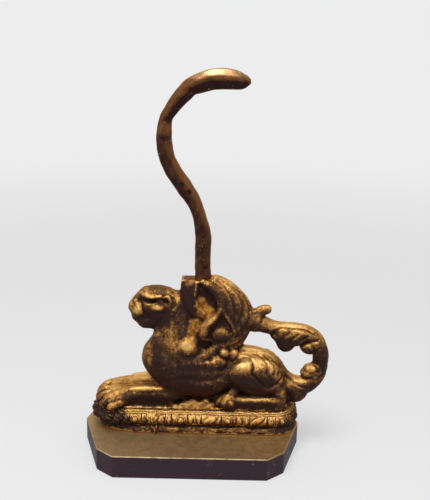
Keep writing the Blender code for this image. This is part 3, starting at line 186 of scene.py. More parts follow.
class Clay:
    # x along the base, y across it with the near side negative, z up from the floor, all in millimetres
    far = 9.0  # the distance where there is no clay
    spare = 2.5  # how far past a shape and its blend the grid is worked out
    grooveReach = 2.2  # how many widths either side of a groove are cut
    grooveFade = 3.0  # a groove fades out over this depth

    def __init__(self, low, high, cell):
        self.low, self.cell = np.array(low, float), cell
        counts = [int(math.ceil((b - a) / cell)) + 1 for a, b in zip(low, high)]
        self.axes = [a + cell * np.arange(n) for a, n in zip(low, counts)]
        self.field = np.full(counts, self.far, np.float32)

    def window(self, low, high, margin):
        cuts = []
        for axis, a, b in zip(self.axes, low, high):
            first = max(int(np.searchsorted(axis, a - margin)) - 1, 0)
            cuts.append(slice(first, int(np.searchsorted(axis, b + margin)) + 1))
        x, y, z = (axis[cut].astype(np.float32) for axis, cut in zip(self.axes, cuts))
        return tuple(cuts), x[:, None, None], y[None, :, None], z[None, None, :]

    def join(self, cuts, distance, blend, carve):
        held = self.field[cuts]
        if carve:
            held[...] = -smoothLeast(-held, distance, blend)
        else:
            held[...] = smoothLeast(held, distance, blend)

    def ball(self, at, size, tilt=0, turn=0, blend=4.0, carve=False):
        # An ellipsoid, tilted about y and then turned about z. Its distance is close to k0 (k0 - 1) / k1,
        # where k0 is the length of the place divided by the radii and k1 that by the squares of the radii
        turned = Matrix.Rotation(math.radians(turn), 3, "Z") @ Matrix.Rotation(math.radians(tilt), 3, "Y")
        turned = np.array(turned)
        size = np.array(size, float)
        reach = np.sqrt(((turned * size) ** 2).sum(axis=1))
        cuts, x, y, z = self.window(np.array(at) - reach, np.array(at) + reach, blend + self.spare)
        x, y, z = x - at[0], y - at[1], z - at[2]
        local = [turned[0, i] * x + turned[1, i] * y + turned[2, i] * z for i in range(3)]
        k0 = np.sqrt(sum((part / r) ** 2 for part, r in zip(local, size)))
        k1 = np.sqrt(sum((part / r**2) ** 2 for part, r in zip(local, size)))
        self.join(cuts, k0 * (k0 - 1) / np.maximum(k1, tiny), blend, carve)

    def rope(self, points, blend=2.0, flat=1.0, carve=False, spacing=2.0):
        # A tube through (x, y, z, radius) points; flat thins it across the base
        line = smoothLine(points, spacing)
        radius = line[:, 3].max()
        low, high = line[:, :3].min(axis=0) - radius, line[:, :3].max(axis=0) + radius
        cuts = self.window(low, high, blend + self.spare)[0]
        nearest = np.full(self.field[cuts].shape, self.far, np.float32)
        first = [cut.start for cut in cuts]
        for start, end in zip(line[:-1], line[1:]):
            big = max(start[3], end[3])
            low, high = np.minimum(start, end)[:3] - big, np.maximum(start, end)[:3] + big
            inner, x, y, z = self.window(low, high, blend + self.spare)
            inner = tuple(slice(max(c.start - f, 0), max(c.stop - f, 0)) for c, f in zip(inner, first))
            step = end[:3] - start[:3]
            px, py, pz = x - start[0], y - start[1], z - start[2]
            share = np.clip((px * step[0] + py * step[1] + pz * step[2]) / max(step @ step, tiny), 0, 1)
            px, py, pz = px - share * step[0], py - share * step[1], pz - share * step[2]
            thick = start[3] + share * (end[3] - start[3])
            if flat == 1:
                distance = np.sqrt(px * px + py * py + pz * pz) - thick
            else:
                rest = px * px + pz * pz
                k0 = np.sqrt(rest + (py / flat) ** 2) / thick
                k1 = np.sqrt(rest + (py / flat**2) ** 2) / thick**2
                distance = k0 * (k0 - 1) / np.maximum(k1, tiny)
            held = nearest[inner]
            held[...] = np.minimum(held, distance[: held.shape[0], : held.shape[1], : held.shape[2]])
        self.join(cuts, nearest, blend, carve)

    def block(self, low, high, corner, blend=2.0, carve=False):
        # A box with rounded edges: the distance to a smaller box, less the radius of the edges
        low, high = np.array(low, float), np.array(high, float)
        centre, half = (low + high) / 2, (high - low) / 2 - corner
        cuts, x, y, z = self.window(low, high, blend + self.spare)
        q = [np.abs(v - c) - h for v, c, h in zip((x, y, z), centre, half)]
        outside = np.sqrt(sum(np.maximum(v, 0) ** 2 for v in q))
        inside = np.minimum(np.maximum(np.maximum(q[0], q[1]), q[2]), 0)
        self.join(cuts, outside + inside - corner, blend, carve)

    def score(self, points, depth, narrow, wide, far=-4, fade=0.12, seen=-15):
        # A groove along an (x, z) line, as it is seen at the given y by an eye above the near side: further
        # back it sinks. Across, it is depth * exp(-(d / width)^2), with the wide width on the line's left
        line = smoothLine(points, 1.0)
        reach = self.grooveReach * max(narrow, wide)
        low, high = line.min(axis=0) - reach, line.max(axis=0) + reach
        slope, near = sculpture["slope"], self.low[1]
        lowest, highest = low[1] - slope * (far - seen), high[1] - slope * (near - seen)
        cuts, x, y, z = self.window((low[0], near, lowest), (high[0], far, highest), 0)
        heights = np.arange(low[1], high[1] + self.cell, self.cell)
        x, z2 = x[:, :, 0], heights[None, :]
        square, side, along = np.full((3, x.shape[0], len(heights)), np.inf)
        for index, (start, end) in enumerate(zip(line[:-1], line[1:])):
            step = end - start
            px, pz = x - start[0], z2 - start[1]
            share = np.clip((px * step[0] + pz * step[1]) / max(step @ step, tiny), 0, 1)
            found = (px - share * step[0]) ** 2 + (pz - share * step[1]) ** 2
            closer = found < square
            square = np.where(closer, found, square)
            side = np.where(closer, step[0] * pz - step[1] * px, side)
            along = np.where(closer, (index + share) / (len(line) - 1), along)
        width = np.where(side > 0, wide, narrow)
        ends = np.clip(np.minimum(along, 1 - along) / fade, 0, 1)
        profile = np.pad(depth * np.exp(-square / width**2) * ends * (2 - ends), ((0, 0), (1, 1)))
        place = np.clip((z[0] + slope * (y[0] - seen) - low[1]) / self.cell + 1, 0, len(heights) + 0.99)
        first = place.astype(int)
        share = place - first
        cut = profile[:, first] * (1 - share) + profile[:, first + 1] * share
        self.field[cuts] += (cut * np.clip((far - y) / self.grooveFade, 0, 1)).astype(np.float32)

    def plate(self, outline, thickness, dips=(), blend=4.0):
        # A plate either side of the middle plane inside an (x, z) outline. How far in a point lies gives its
        # half thickness, less any dips: each an outline with the half thickness at its foot and at its head
        outline = smoothLine(list(outline) + [outline[0]], 2.0)[:-1]
        low, high = outline.min(axis=0), outline.max(axis=0)
        cuts, x, y, z = self.window((low[0], self.low[1], low[1]), (high[0], 0, high[1]), blend + self.spare)
        x2, z2 = np.broadcast_arrays(x[:, :, 0], z[:, 0, :])
        inset = -outlineDistance(x2, z2, outline)
        half = np.where(inset > 0, thickness(np.maximum(inset, 0)), 3 * inset)
        for shape, foot, head in dips:
            shape = smoothLine(list(shape) + [shape[0]], 2.0)[:-1]
            depth = -outlineDistance(x2, z2, shape)
            share = np.clip((depth + 1) / 2.5, 0, 1)
            rise = (z2 - shape[:, 1].min()) / np.ptp(shape[:, 1])
            wanted = foot + (head - foot) * np.clip(rise, 0, 1)
            half = np.where(half > wanted, half + (wanted - half) * share * share * (3 - 2 * share), half)
        slope = np.gradient(half, self.cell)
        steep = 1 / np.sqrt(1 + slope[0] ** 2 + slope[1] ** 2)
        distance = (np.abs(y) - half[:, None, :]) * steep[:, None, :]
        self.join(cuts, distance.astype(np.float32), blend, False)

    def both(self):
        # The near half and its mirror image, as one grid
        return np.concatenate([self.field, self.field[:, -2::-1, :]], axis=1)


def skinOf(field, low, cell):
    # Surface nets: one point in each cell that the surface crosses, at the mean of its edge crossings,
    # and one four-sided face for each grid edge that it crosses
    inside = field < 0
    corners = [(i, j, k) for i in (0, 1) for j in (0, 1) for k in (0, 1)]

    def at(array, corner):
        return array[tuple(slice(c, array.shape[a] - 1 + c) for a, c in enumerate(corner))]

    count = sum(at(inside, corner).astype(np.int8) for corner in corners)
    cells = np.argwhere((count > 0) & (count < 8))
    total, crossings = np.zeros((len(cells), 3)), np.zeros(len(cells))
    for axis in range(3):
        for corner in corners:
            if corner[axis]:
                continue
            start = cells + corner
            end = start.copy()
            end[:, axis] += 1
            a, b = field[tuple(start.T)].astype(float), field[tuple(end.T)].astype(float)
            crossed = (a < 0) != (b < 0)
            share = np.where(crossed, a / np.where(crossed, a - b, 1), 0)
            place = start.astype(float)
            place[:, axis] += share
            total += place * crossed[:, None]
            crossings += crossed
    points = total / crossings[:, None]
    number = np.full(np.array(field.shape) - 1, -1, np.int32)
    number[tuple(cells.T)] = np.arange(len(cells))
    faces = []
    for axis in range(3):
        one, two = [a for a in range(3) if a != axis]
        core = [slice(1, -1)] * 3
        core[axis] = slice(0, -1)
        ahead = [slice(1, -1)] * 3
        ahead[axis] = slice(1, None)
        a, b = inside[tuple(core)], inside[tuple(ahead)]
        found = np.argwhere(a != b)
        leaving = a[tuple(found.T)]
        found[:, one] += 1
        found[:, two] += 1
        ring = []
        for shift in ((0, 0), (1, 0), (1, 1), (0, 1)):
            touching = found.copy()
            touching[:, one] -= shift[0]
            touching[:, two] -= shift[1]
            ring.append(number[tuple(touching.T)])
        quad = np.stack(ring, axis=1)
        flip = ~leaving if axis != 1 else leaving
        quad[flip] = quad[flip][:, ::-1]
        faces.append(quad)
    return low + points * cell, np.concatenate(faces)


sculpture = {
    "low": (-121, -37, 43),
    "high": (149, 0, 196),
    "cell": 0.9,
    "triangles": 190000,
    "foot": 48.6,
    # How far a line of sight rises for each millimetre that it goes back, as the grooves are seen
    "slope": 0.41,
    "ground": {
        "low": (-105, -28, 44),
        "high": (112, 0, 56),
        "top": 50.4,
        "halfLength": 99.5,
        "halfDepth": 22.6,
        "centre": 3.2,
        "corner": 21.5,
        "blend": 2,
    },
    # Lumps of the ground, as (step, height, seed)
    "lumps": ((2.6, 0.8, 1), (6, 0.7, 2)),
    # Folds of the drapery between the foreleg and the hind paw, as (x, y, z, size along, across, up)
    "drapery": [
        (-16, -17, 49.5, 9, 4.5, 3.0), (-6, -17, 50.5, 8, 5.5, 5.2), (1, -15.5, 51, 7, 5.5, 7.2),
        (8, -18, 50.5, 7, 4.2, 5.2), (14, -15.5, 51, 6, 5.0, 7.4), (20, -17.5, 50, 8, 4.4, 4.6),
    ],
    # Patches as (x, z, half width, half height, strength)
    # The negative patch at (20, 173) keeps rust off the roof of the wing's hollow, which is painted dark as
    # shade
    "rust": [
        (8, 165, 7, 8, 1.1), (14, 156, 7, 7, 1.1), (20, 173, 8, 9, -1.4), (3, 142, 6, 8, 0.8),
        (-2, 132, 5, 9, 0.7), (-46, 108, 6, 14, 0.6), (-36, 129, 8, 8, 0.5), (-22, 138, 3.5, 13, 0.55),
        (-6, 121, 6, 6, 0.4), (-40, 72, 10, 4, 0.5), (112, 84, 9, 6, 0.5), (66, 144, 5, 8, 0.4),
    ],
    # Patches of wear and of painted light: painted highlights on lit tops such as the arm, brow, cheek,
    # haunch and tail, and painted shade in the eye, under the jaw, on the lip, in the wing's hollow and under
    # the belly and haunch
    "wearAndPaintedLight": [
        (-37, 178, 18, 5, -0.75), (-44, 171, 8, 2.6, 0.7), (-45, 165.5, 11, 2.6, -1.4),
        (-37, 159.5, 7, 3.5, 1.1), (-57, 156, 4, 8, 0.9), (-63, 157, 4, 5, 0.5), (-45, 142, 13, 7, -0.9),
        (-30, 148, 9, 8, -0.9), (-15, 167, 7, 6, 0.3), (-22, 134, 7, 14, 0.2), (-36, 129, 9, 8, 0.3),
        (-38, 112, 7, 16, -0.8), (-6, 120, 7, 6, 1.2), (-16, 121, 6, 6, 0.7), (-6, 170, 8, 17, -1.2),
        (18, 175, 9, 9, -1.3), (19, 151, 6, 6, 0.9), (10, 139, 5, 9, 0.6), (27, 149, 6, 8, -0.8),
        (28, 127, 9, 5, -0.6), (11.5, 119.5, 6, 4, -1.6), (-4, 99, 20, 8, -0.5), (-10, 82, 32, 10, -0.6),
        (59, 112, 8, 9, 1.1), (71, 107, 8, 8, 0.9), (82, 101, 6, 9, 0.7), (51, 99, 8, 7, 0.9),
        (73, 84, 12, 8, -0.8), (52, 79, 14, 8, -0.8), (-52, 69.5, 22, 2.2, 0.9), (-56, 76, 24, 5, 0.5),
        (-44, 61, 26, 6, -0.7), (-86, 68, 9, 5, 0.7), (-96, 56, 8, 7, -0.3), (66, 62, 20, 3, 0.7),
        (64, 54, 24, 4, -0.7), (36, 58, 9, 6, -0.3), (38, 66, 7, 4, 0.4), (98, 138, 22, 4, 1.0),
        (103, 130, 10, 3, 0.8), (96, 119, 12, 6, -0.8), (137, 103, 7, 16, -0.7), (125, 119, 6, 4, 0.7),
        (126, 91, 6, 5, 0.8), (112, 77, 10, 5, 0.7), (124, 70, 10, 6, -0.6), (42, 160, 12, 14, -0.2),
        (54, 168, 8, 12, 0.3), (36, 182, 12, 8, 0.6), (40, 122, 12, 6, 0.4), (5, 50, 22, 6, 0.3),
    ],
    # Unevenness all over, as (step, height)
    "ripples": ((9, 0.35), (4, 0.2), (2.2, 0.12)),
}


def modelBody(clay):
    # Chest, ribs, loin and rump, and the neck rising from the shoulders
    clay.ball((-25.8, 0, 99), (28.5, 21, 27), blend=6)
    clay.ball((15, 0, 86.5), (46, 21, 25), blend=8)
    clay.ball((9, 0, 82), (36, 23.5, 20), blend=8)
    clay.ball((15, 0, 56), (58, 12, 13), blend=5)
    clay.ball((-20, -11, 92), (23, 12, 25), blend=8)
    clay.ball((14, -12, 80), (22, 13, 17), blend=6)
    clay.ball((0, -12.5, 74.5), (32, 10, 14), blend=5)
    clay.ball((56, 0, 87.2), (37, 18, 22), blend=8)
    clay.ball((83, 0, 75.5), (17, 16, 22.5), blend=6)
    clay.ball((-20.5, 0, 122), (22, 16, 30), blend=6)
    clay.rope([(-24, 0, 158, 12.5), (-20, 0, 140.5, 15), (-21, 0, 114.5, 19)], blend=6)
    clay.rope([(-20, 0, 158, 12.5), (-12, 0, 158, 13), (-8, 0, 128.5, 15.5)], blend=6)
    spine = [(46, 108.3), (56, 108.6), (66, 107.4), (74, 104.8), (80, 102.2)]
    spine += [(86, 97.4), (90, 92.6), (94, 86.8), (98, 81), (103, 76.2)]
    clay.rope([(x, -1, z, 4.5) for x, z in spine], blend=3)


def modelHead(clay):
    # Skull, cheeks, muzzle and chin, then the brow and the ear, and the scored eye, nose and mouth
    clay.ball((-40, 0, 161.2), (18, 13, 17.6), blend=3)
    clay.ball((-29, 0, 162), (13, 11, 14.5), blend=4)
    clay.ball((-53, 0, 153.5), (12.5, 9, 11), 20, blend=3)
    clay.ball((-61.5, 0, 155), (6.5, 6, 6), blend=3)
    clay.ball((-48.5, 0, 141), (11, 9, 9.5), -10, blend=3)
    clay.ball((-41, 0, 140), (8, 9, 9), blend=3)
    clay.ball((-58, 0, 145.5), (6.5, 6.2, 6.5), blend=3)
    clay.ball((-33, 0, 149), (13, 12.5, 13), blend=3)
    clay.ball((-37.5, -9.4, 158.2), (9, 5.2, 4.8), 8, blend=1.6)
    clay.ball((-57.5, -4.8, 152), (6, 5, 7), 30, blend=1.6)
    cheek = [(-60, -5, 163, 1.8), (-57.5, -6.4, 158, 2.2), (-54.6, -7.4, 152, 2.4), (-53.5, -7.4, 147, 1.8)]
    clay.rope(cheek, blend=1.8)
    clay.rope([(-50, 0, 170.5, 6), (-56, 0, 165.5, 5.5), (-62, 0, 159, 4.6)], blend=3)
    brow = [(-54, -3.5, 171, 2.4), (-50.5, -6.5, 170.4, 2.9), (-46.5, -8.8, 169.2, 3.1), (-42, -10, 169, 3.2)]
    clay.rope(brow + [(-38, -10.6, 169.6, 3), (-34, -10.6, 170.6, 2.2)], blend=1.4)
    ear = [(-30.5, -10.8, 169.2, 1.7), (-27.8, -11.8, 170.6, 2.1), (-25, -12.2, 169.6, 2.4)]
    clay.rope(ear + [(-23.6, -12.2, 166, 2.4), (-24.6, -12, 162, 2), (-28, -11.4, 160.4, 1.6)], blend=1)
    clay.ball((-28.8, -13.2, 166), (2.5, 3.2, 3), blend=0.8, carve=True)
    clay.ball((-46, -11.8, 164.6), (8, 3.6, 2), -4, blend=1, carve=True)
    clay.score([(-55.5, 167.5), (-49, 165.8), (-43, 165.4), (-35, 167)], 1.2, 1.4, 1.5, far=-3, seen=-10)
    clay.ball((-46, -8.2, 164), (2.6, 1.5, 1.3), blend=0.5)
    clay.score([(-56, 168), (-53.2, 161.5), (-51.8, 155.5), (-50, 149)], 1.2, 1.3, 1.8, far=-3, seen=-9)
    clay.score([(-23, 171.5), (-20, 167), (-19.4, 161.5), (-23, 157)], 1.0, 2, 1.4, far=-5, seen=-12)
    clay.score([(-57, 147), (-50, 145.6), (-44, 146.4)], 0.6, 1.2, 2, far=-2, seen=-9)
    clay.score([(-65, 157), (-62.5, 155.5), (-61.5, 152.5)], 0.6, 0.8, 0.8, far=0, seen=-5)
    clay.score([(-22, 158), (-26, 153.5), (-31, 148), (-37, 140)], 0.8, 2.6, 2.6, far=-5, seen=-12)


def modelForelegs(clay):
    # Arms side by side with a flat valley between them, and paws whose toes fan over the ground's edge
    clay.ball((-15, -14, 80), (17, 8.5, 17), blend=7)
    arm = [(-19, -14, 64, 8.2), (-33, -14, 62, 8), (-58, -13.5, 61.8, 7.8), (-77, -13.5, 58.5, 8)]
    clay.rope(arm, blend=3)
    ridge = [(-24, -17, 69, 2.4), (-36, -17, 69, 2.8), (-50, -16.7, 69, 3), (-64, -16, 67.6, 2.6)]
    clay.rope(ridge, blend=1.8)
    clay.block((-88, -12, 46), (-16, 3, 66.3), 4, blend=4)
    clay.block((-74, -19.5, 46), (-20, 3, 58), 3, blend=3)
    clay.ball((-82, -14, 55), (13.5, 10.5, 8.6), 6, blend=4)
    clay.ball((-73, -17, 56), (9, 6, 7), blend=3)
    clay.ball((-83, -6, 59.5), (11, 8, 6.5), blend=3)
    toes = [(-101, -4.4, 62), (-100, -11.8, 60.8), (-95.5, -18.6, 57.8), (-87.5, -24, 54.8)]
    for tip, y, top in toes:
        root = -14 + (y + 14) * 0.5
        toe = [(-77, root, top - 0.8, 3.2), (tip + 13, y + (root - y) * 0.35, top, 4.2)]
        toe += [(tip + 6, y, top - 3, 4.4), (tip + 2.2, y - 0.3, (top + 46) / 2, 4.3)]
        clay.rope(toe + [(tip + 2, y - 0.5, 49.5, 3.9)], blend=0.6)


def modelHindlegs(clay):
    # Haunch, folded lower leg, hock and paw, with four toes
    clay.ball((67, -13, 84), (28, 11.5, 21), 14, blend=5)
    clay.ball((52.5, -17.5, 92), (11.5, 7.5, 11), blend=2)
    clay.ball((56, -17, 82), (21, 8.3, 12.5), 28, blend=2)
    clay.block((40, -22.5, 44), (93, 2, 62.8), 4.5, blend=2)
    clay.rope([(84, -12, 78, 8), (90, -13.5, 70, 7.5), (92, -15, 61, 7), (91, -16, 52, 6.4)], blend=4)
    clay.ball((37.5, -16.5, 57), (11.5, 9.5, 8), blend=3)
    clay.rope([(45, -15, 72, 4.5), (42, -17, 65.5, 4.6), (37, -18, 60, 4.6)], blend=3)
    clay.ball((97, 0, 56.5), (9, 9, 9), blend=4)
    for x, y in ((27.5, -13.5), (29.5, -19.5), (34.5, -23.2), (40.5, -24)):
        clay.ball((x, y, 55.8), (4.8, 4, 5.2), blend=1.6)


def modelHaunchLeaf(clay):
    # The leaf that wraps the haunch, with a cut along its front edge and ribs that follow its back
    clay.ball((75, -13, 87.5), (19.5, 10.5, 17), 20, blend=1.5)
    clay.rope([(69, -17.5, 94, 7), (72, -18.5, 86, 7), (76.5, -18.5, 79, 4)], blend=3)
    clay.ball((87, -15, 83), (7.5, 7, 11), -15, blend=2.5)
    edge = [(45, 106), (53, 111.5), (58, 109.5), (61.5, 105), (63, 99), (62, 93), (64, 90), (67, 87)]
    clay.score(edge + [(72, 82), (75.5, 76.5)], 1.5, 1.6, 0.9, far=-10, fade=0.05, seen=-24)
    clay.score([(93.5, 96), (93.5, 89), (89, 82.5), (83, 78), (77, 74)], 1.3, 1.6, 1.8, far=-10, seen=-22)
    for groove in (
        [(50, 116), (58, 115.6), (65, 113.4), (71, 109), (75.5, 104), (77.6, 99), (77, 94), (74.5, 90)],
        [(54, 117), (64, 116), (71.5, 113), (77.5, 108), (82.5, 103), (85, 98), (85, 93), (82.5, 88)],
        [(66, 116.5), (74, 114), (80, 109.5), (86, 103.5), (89, 98), (89.3, 92), (88, 87)],
    ):
        clay.score(groove, 1.15, 0.9, 3.4, far=-4, seen=-20)
    back = [(54, 117), (65, 116.6), (74, 114.2), (82.5, 109.8), (88.5, 104.5), (92.3, 97.5), (94, 92)]
    clay.score(back, 0.9, 2, 1.2, far=-2, seen=-12)


def wingThickness(inset):
    # Half thickness by how far in a point lies: a slow rise to the middle and a quick one at the rounded edge
    return 14.5 * (1 - np.exp(-inset / 9)) + 3 * (1 - np.exp(-inset / 1.1))


def modelWings(clay):
    # The pair of folded wings as one plate with a hollow front, scored with long feathers that lap backwards
    outline = [(-8, 185), (-10, 180), (-8.5, 168), (-5, 157), (0, 149), (4, 143), (3, 133), (6, 124)]
    outline += [(14, 117), (24, 111), (34, 108), (43, 110), (51, 116), (57.5, 125.5), (61.5, 137)]
    outline += [(62.7, 148.5), (60.3, 158.5), (55, 168), (46, 178), (34, 187), (22, 191)]
    outline += [(12, 188.5), (2, 187)]
    hollow = [(4, 188), (12, 185), (20, 178), (24, 169), (24.5, 161), (21, 154)]
    hollow += [(14, 148), (8, 146), (3, 153), (1, 166), (2, 180)]
    volute = [(27, 158), (33, 153), (39, 145), (40, 137), (35, 129)]
    volute += [(27, 124), (20, 127), (17, 134), (19, 142), (23, 150)]
    clay.plate(outline, wingThickness, [(hollow, 13, 3), (volute, 14.5, 13.5)], blend=4)
    clay.ball((25, 0, 119), (25, 16.5, 15), blend=7)
    for groove in (
        [(21, 192), (29, 186), (34.5, 179), (38, 172), (40.3, 165), (41.3, 157), (43, 150)],
        [(28, 191), (38, 184), (45, 176), (49, 168), (50, 159), (48, 151), (44, 143)],
        [(34, 190), (45, 181), (53, 171.5), (56, 163), (57, 154), (56, 145), (52.5, 137), (46, 129)],
        [(40, 186), (51, 175.5), (58, 166.5), (60.5, 157), (61, 146), (58, 135.5), (51, 125)],
    ):
        clay.score(groove, 1.15, 0.9, 3.2, far=-2, fade=0.2, seen=-14)
    clay.score([(56, 147), (51, 139), (46, 133), (43, 127)], 0.9, 0.9, 2.4, far=-4, seen=-14)
    clay.score([(59, 136), (52, 128), (44, 121), (33, 116)], 0.9, 0.9, 2.4, far=-4, seen=-14)
    arch = [(9, -10, 187, 3), (15.5, -12, 184, 4), (22, -13, 177.5, 4.6), (26.4, -13.5, 170, 4.6)]
    clay.rope(arch + [(28, -14.5, 162, 4), (28.5, -15.5, 157, 3)], blend=4)


def modelWingCurl(clay):
    # The front edge comes down as a band in an S, with a branch behind it and a rounded lump between the two
    recess = [(28.5, -16.5, 153, 3), (26.5, -16.5, 146.5, 5), (30.5, -16.5, 144, 6), (34.5, -16.5, 144, 4)]
    clay.rope(recess, blend=2, carve=True, flat=0.6)
    clay.ball((28, -12.5, 131), (10.5, 7, 8.6), blend=1.6)
    band = [(27.6, -15.5, 159, 3), (24, -15.5, 152, 4.4), (18, -15.5, 146, 5.4), (13, -15.5, 140, 5.8)]
    clay.rope(band + [(11, -15, 134, 5.8), (11, -14.5, 128.5, 5.2), (14, -14, 124.5, 4.2)], blend=2.4)
    crest = [(27.4, -18, 161, 1.5), (25, -19, 155, 1.8), (20, -20, 149.5, 1.9), (15.5, -20.2, 144.5, 1.9)]
    clay.rope(crest + [(13.4, -19.6, 139.5, 1.8), (12.4, -18.6, 134, 1.6)], blend=2.2)
    branch = [(28, -17, 160.5, 1.4), (32, -17, 155.5, 1.6), (36.5, -17, 149, 1.8), (40, -16, 142.5, 2)]
    clay.rope(branch + [(42, -15, 136, 1.6)], blend=2)
    clay.ball((14, -17.5, 119.6), (8.5, 6.5, 5), 12, blend=2.4, carve=True)


def modelBoss(clay):
    # The socket for the rod, with a broad lip that hangs in front of it
    clay.block((-13, -7.5, 178), (20, 7.5, 187.6), 1.6, blend=2)
    clay.rope([(8.6, 0, 179, 8), (8.6, 0, 157, 6), (8.6, 0, 117, 13)], blend=3)
    clay.rope([(-8.5, 0, 178, 5), (-8, -3, 170, 6), (-5, -4, 158, 7)], blend=3)
    clay.rope([(5, -4, 150, 8), (0, -4.5, 140, 9), (-1.5, -7, 126, 10), (-2, -8, 113, 12)], blend=5)
    clay.score([(-7, 150), (-6, 136), (-4, 127), (-10, 120)], 0.7, 2.6, 2.4, far=-4, seen=-15)
    sheet = [(-4.8, -7, 178.6, 8.2), (-5, -9, 172, 7.8), (-4, -10.5, 165, 7), (-1, -11.5, 158, 6.2)]
    clay.rope(sheet + [(3.5, -12, 153.4, 5), (9, -12.5, 152, 3.6)], blend=1.4, flat=0.62)
    edge = [(2.8, -9.5, 186, 2), (2, -11, 180, 2.2), (1.4, -13, 172, 2.2), (3.2, -14.4, 165, 2.1)]
    clay.rope(edge + [(6.6, -15, 159, 2), (11, -15, 155, 1.7)], blend=2.4)


def modelCoverts(clay):
    # The rounded edge and the small feathers of the mantle over the ribs, and three lobes behind it
    collar = [(-22, -12.5, 111, 6), (-15, -14, 105, 7), (-8, -15, 101, 7.4), (2, -15, 101, 7.4)]
    clay.rope(collar + [(11, -14, 105.5, 6.6), (18, -13, 111.5, 5.8), (23, -12, 117, 5)], blend=3)
    mantle = [(-24, -13, 98, 8), (-14, -14, 93, 9), (0, -15, 91, 9.4), (14, -15, 93, 9), (25, -13.5, 101, 8)]
    clay.rope(mantle, blend=4)
    for row, (count, first, pitch, height) in enumerate(((7, -17, 6.6, 98.5), (7, -20.5, 7.2, 90.5))):
        for index in range(count):
            x = first + pitch * index
            # A row sags to its middle and rises at its back end, as a cube
            z = height + 0.05 * (index - 2.6) ** 3 * (1 - 0.4 * row)
            clay.ball((x, -20.4, z), (4.8, 3.4, 5.4), -24, blend=1.8)
    lower = [(-19, 88), (-10, 85), (0, 85.5), (7, 83.5), (14, 85), (22, 85.5), (32, 92)]
    clay.score(lower, 1, 2.8, 2, far=-10, seen=-26)
    clay.ball((-5, -16.5, 117.5), (8, 6, 9), 20, blend=5)
    clay.ball((33, -17.5, 111.5), (5.6, 4.4, 4.6), 25, blend=2.4)
    clay.ball((42.6, -16.2, 109.5), (5.4, 4.6, 6.6), 20, blend=2.2)
    clay.ball((29.5, -18.2, 101.5), (5.4, 4.4, 6), 30, blend=2.4)


def modelTail(clay):
    # The tail leaves the rump, turns up and runs forward again into the back of the wings
    loop = [(84, 77.5, 13), (100, 70.5, 11.6), (113, 68.5, 10.4), (124, 72.5, 9.6), (131.5, 82, 8.8)]
    loop += [(134.8, 96, 8.2), (133.4, 110.5, 8.6), (127.5, 122, 9), (117.5, 129, 8.6), (104, 132, 7.8)]
    loop += [(90, 133.5, 7.2), (77, 136.5, 8), (64, 141.5, 10), (52, 145.5, 11)]
    clay.rope([(x, 0, z, radius) for x, z, radius in loop], blend=4)
    # Leaves on the inner side of the tail, the big one above first
    clay.ball((95, 0, 126), (15.5, 8.4, 9), 14, blend=1.5)
    clay.ball((97, 0, 117), (9.5, 7.4, 9), 25, blend=5)
    clay.ball((108, 0, 123.5), (12, 8.4, 8), 16, blend=4)
    clay.ball((121.5, 0, 114.5), (10.5, 8, 9), 35, blend=1)
    clay.ball((128, 0, 87.5), (9, 8.2, 7.6), -25, blend=1.5)
    clay.ball((121.5, 0, 88.5), (4.6, 5.5, 4.6), -40, blend=2)
    clay.ball((122, 0, 83.5), (8, 8, 6), blend=2)
    clay.ball((110, 0, 62.5), (13, 11, 13), -10, blend=1.5)
    for line, depth, narrow, wide in (
        ([(79, 127), (84, 134), (91, 137.5), (100, 137), (109, 136.5), (118, 135), (126, 130)], 1.2, 2.4, 1),
        ([(90, 119), (94.5, 126.6), (101.8, 134.2)], 0.8, 1, 2.6),
        ([(98, 115), (101.8, 123.3), (111.2, 132)], 0.9, 1, 2.8),
        ([(106, 116), (109, 121.1), (120.6, 129.8)], 0.9, 1, 2.8),
        ([(111, 115.5), (117, 119.5), (124, 122.5), (131, 124)], 1.5, 1.3, 2.4),
        ([(122, 99), (129, 98.5), (135, 94), (136, 86), (130, 78)], 0.9, 1.2, 2.4),
        ([(96, 84), (101, 81), (105, 78), (109, 74.5), (115, 71), (122, 69)], 1.4, 1.3, 2.4),
        ([(134, 117), (127, 113), (121, 111)], 0.6, 0.9, 1.6),
        ([(133, 91), (128, 88), (122, 86)], 0.6, 0.9, 1.6),
        ([(80, 152), (75, 151), (71, 147), (70, 141)], 1, 1.6, 1.6),
        ([(62, 152), (66, 155), (70, 155.5), (74, 157)], 0.6, 0.9, 0.9),
    ):
        clay.score(line, depth, narrow, wide, far=0, seen=-8)
    clay.rope([(64, 0, 137, 7), (66.5, 0, 147, 6.6), (70.5, 0, 152.6, 5.8), (76.2, 0, 154.5, 4.7)], blend=3)


def modelGround(clay):
    # A low rough slab under the body, a little inside the top of the cushion: the distance to a rectangle
    # with round ends, pushed about by lumps, and cut off at the top
    ground = sculpture["ground"]
    cuts, x, y, z = clay.window(ground["low"], ground["high"], 6)
    counts = x.shape[0], y.shape[1]
    lumps = 0
    for step, height, seed in sculpture["lumps"]:
        lumps = lumps + height * latticeNoise(counts, step / clay.cell, seed)[:, :, None]
    corner = ground["corner"]
    qx = np.abs(x - ground["centre"]) - (ground["halfLength"] - corner)
    qy = np.abs(y) - (ground["halfDepth"] + lumps * 0.8 - corner)
    outside = np.sqrt(np.maximum(qx, 0) ** 2 + np.maximum(qy, 0) ** 2)
    plan = outside + np.minimum(np.maximum(qx, qy), 0) - corner
    distance = smoothLeast(-plan, ground["top"] + lumps * 0.9 - z, ground["blend"])
    clay.join(cuts, np.broadcast_to(-distance, clay.field[cuts].shape).astype(np.float32), 1.5, False)
    for *at, along, across, up in sculpture["drapery"]:
        clay.ball(at, (along, across, up), turn=at[0], blend=2.5)


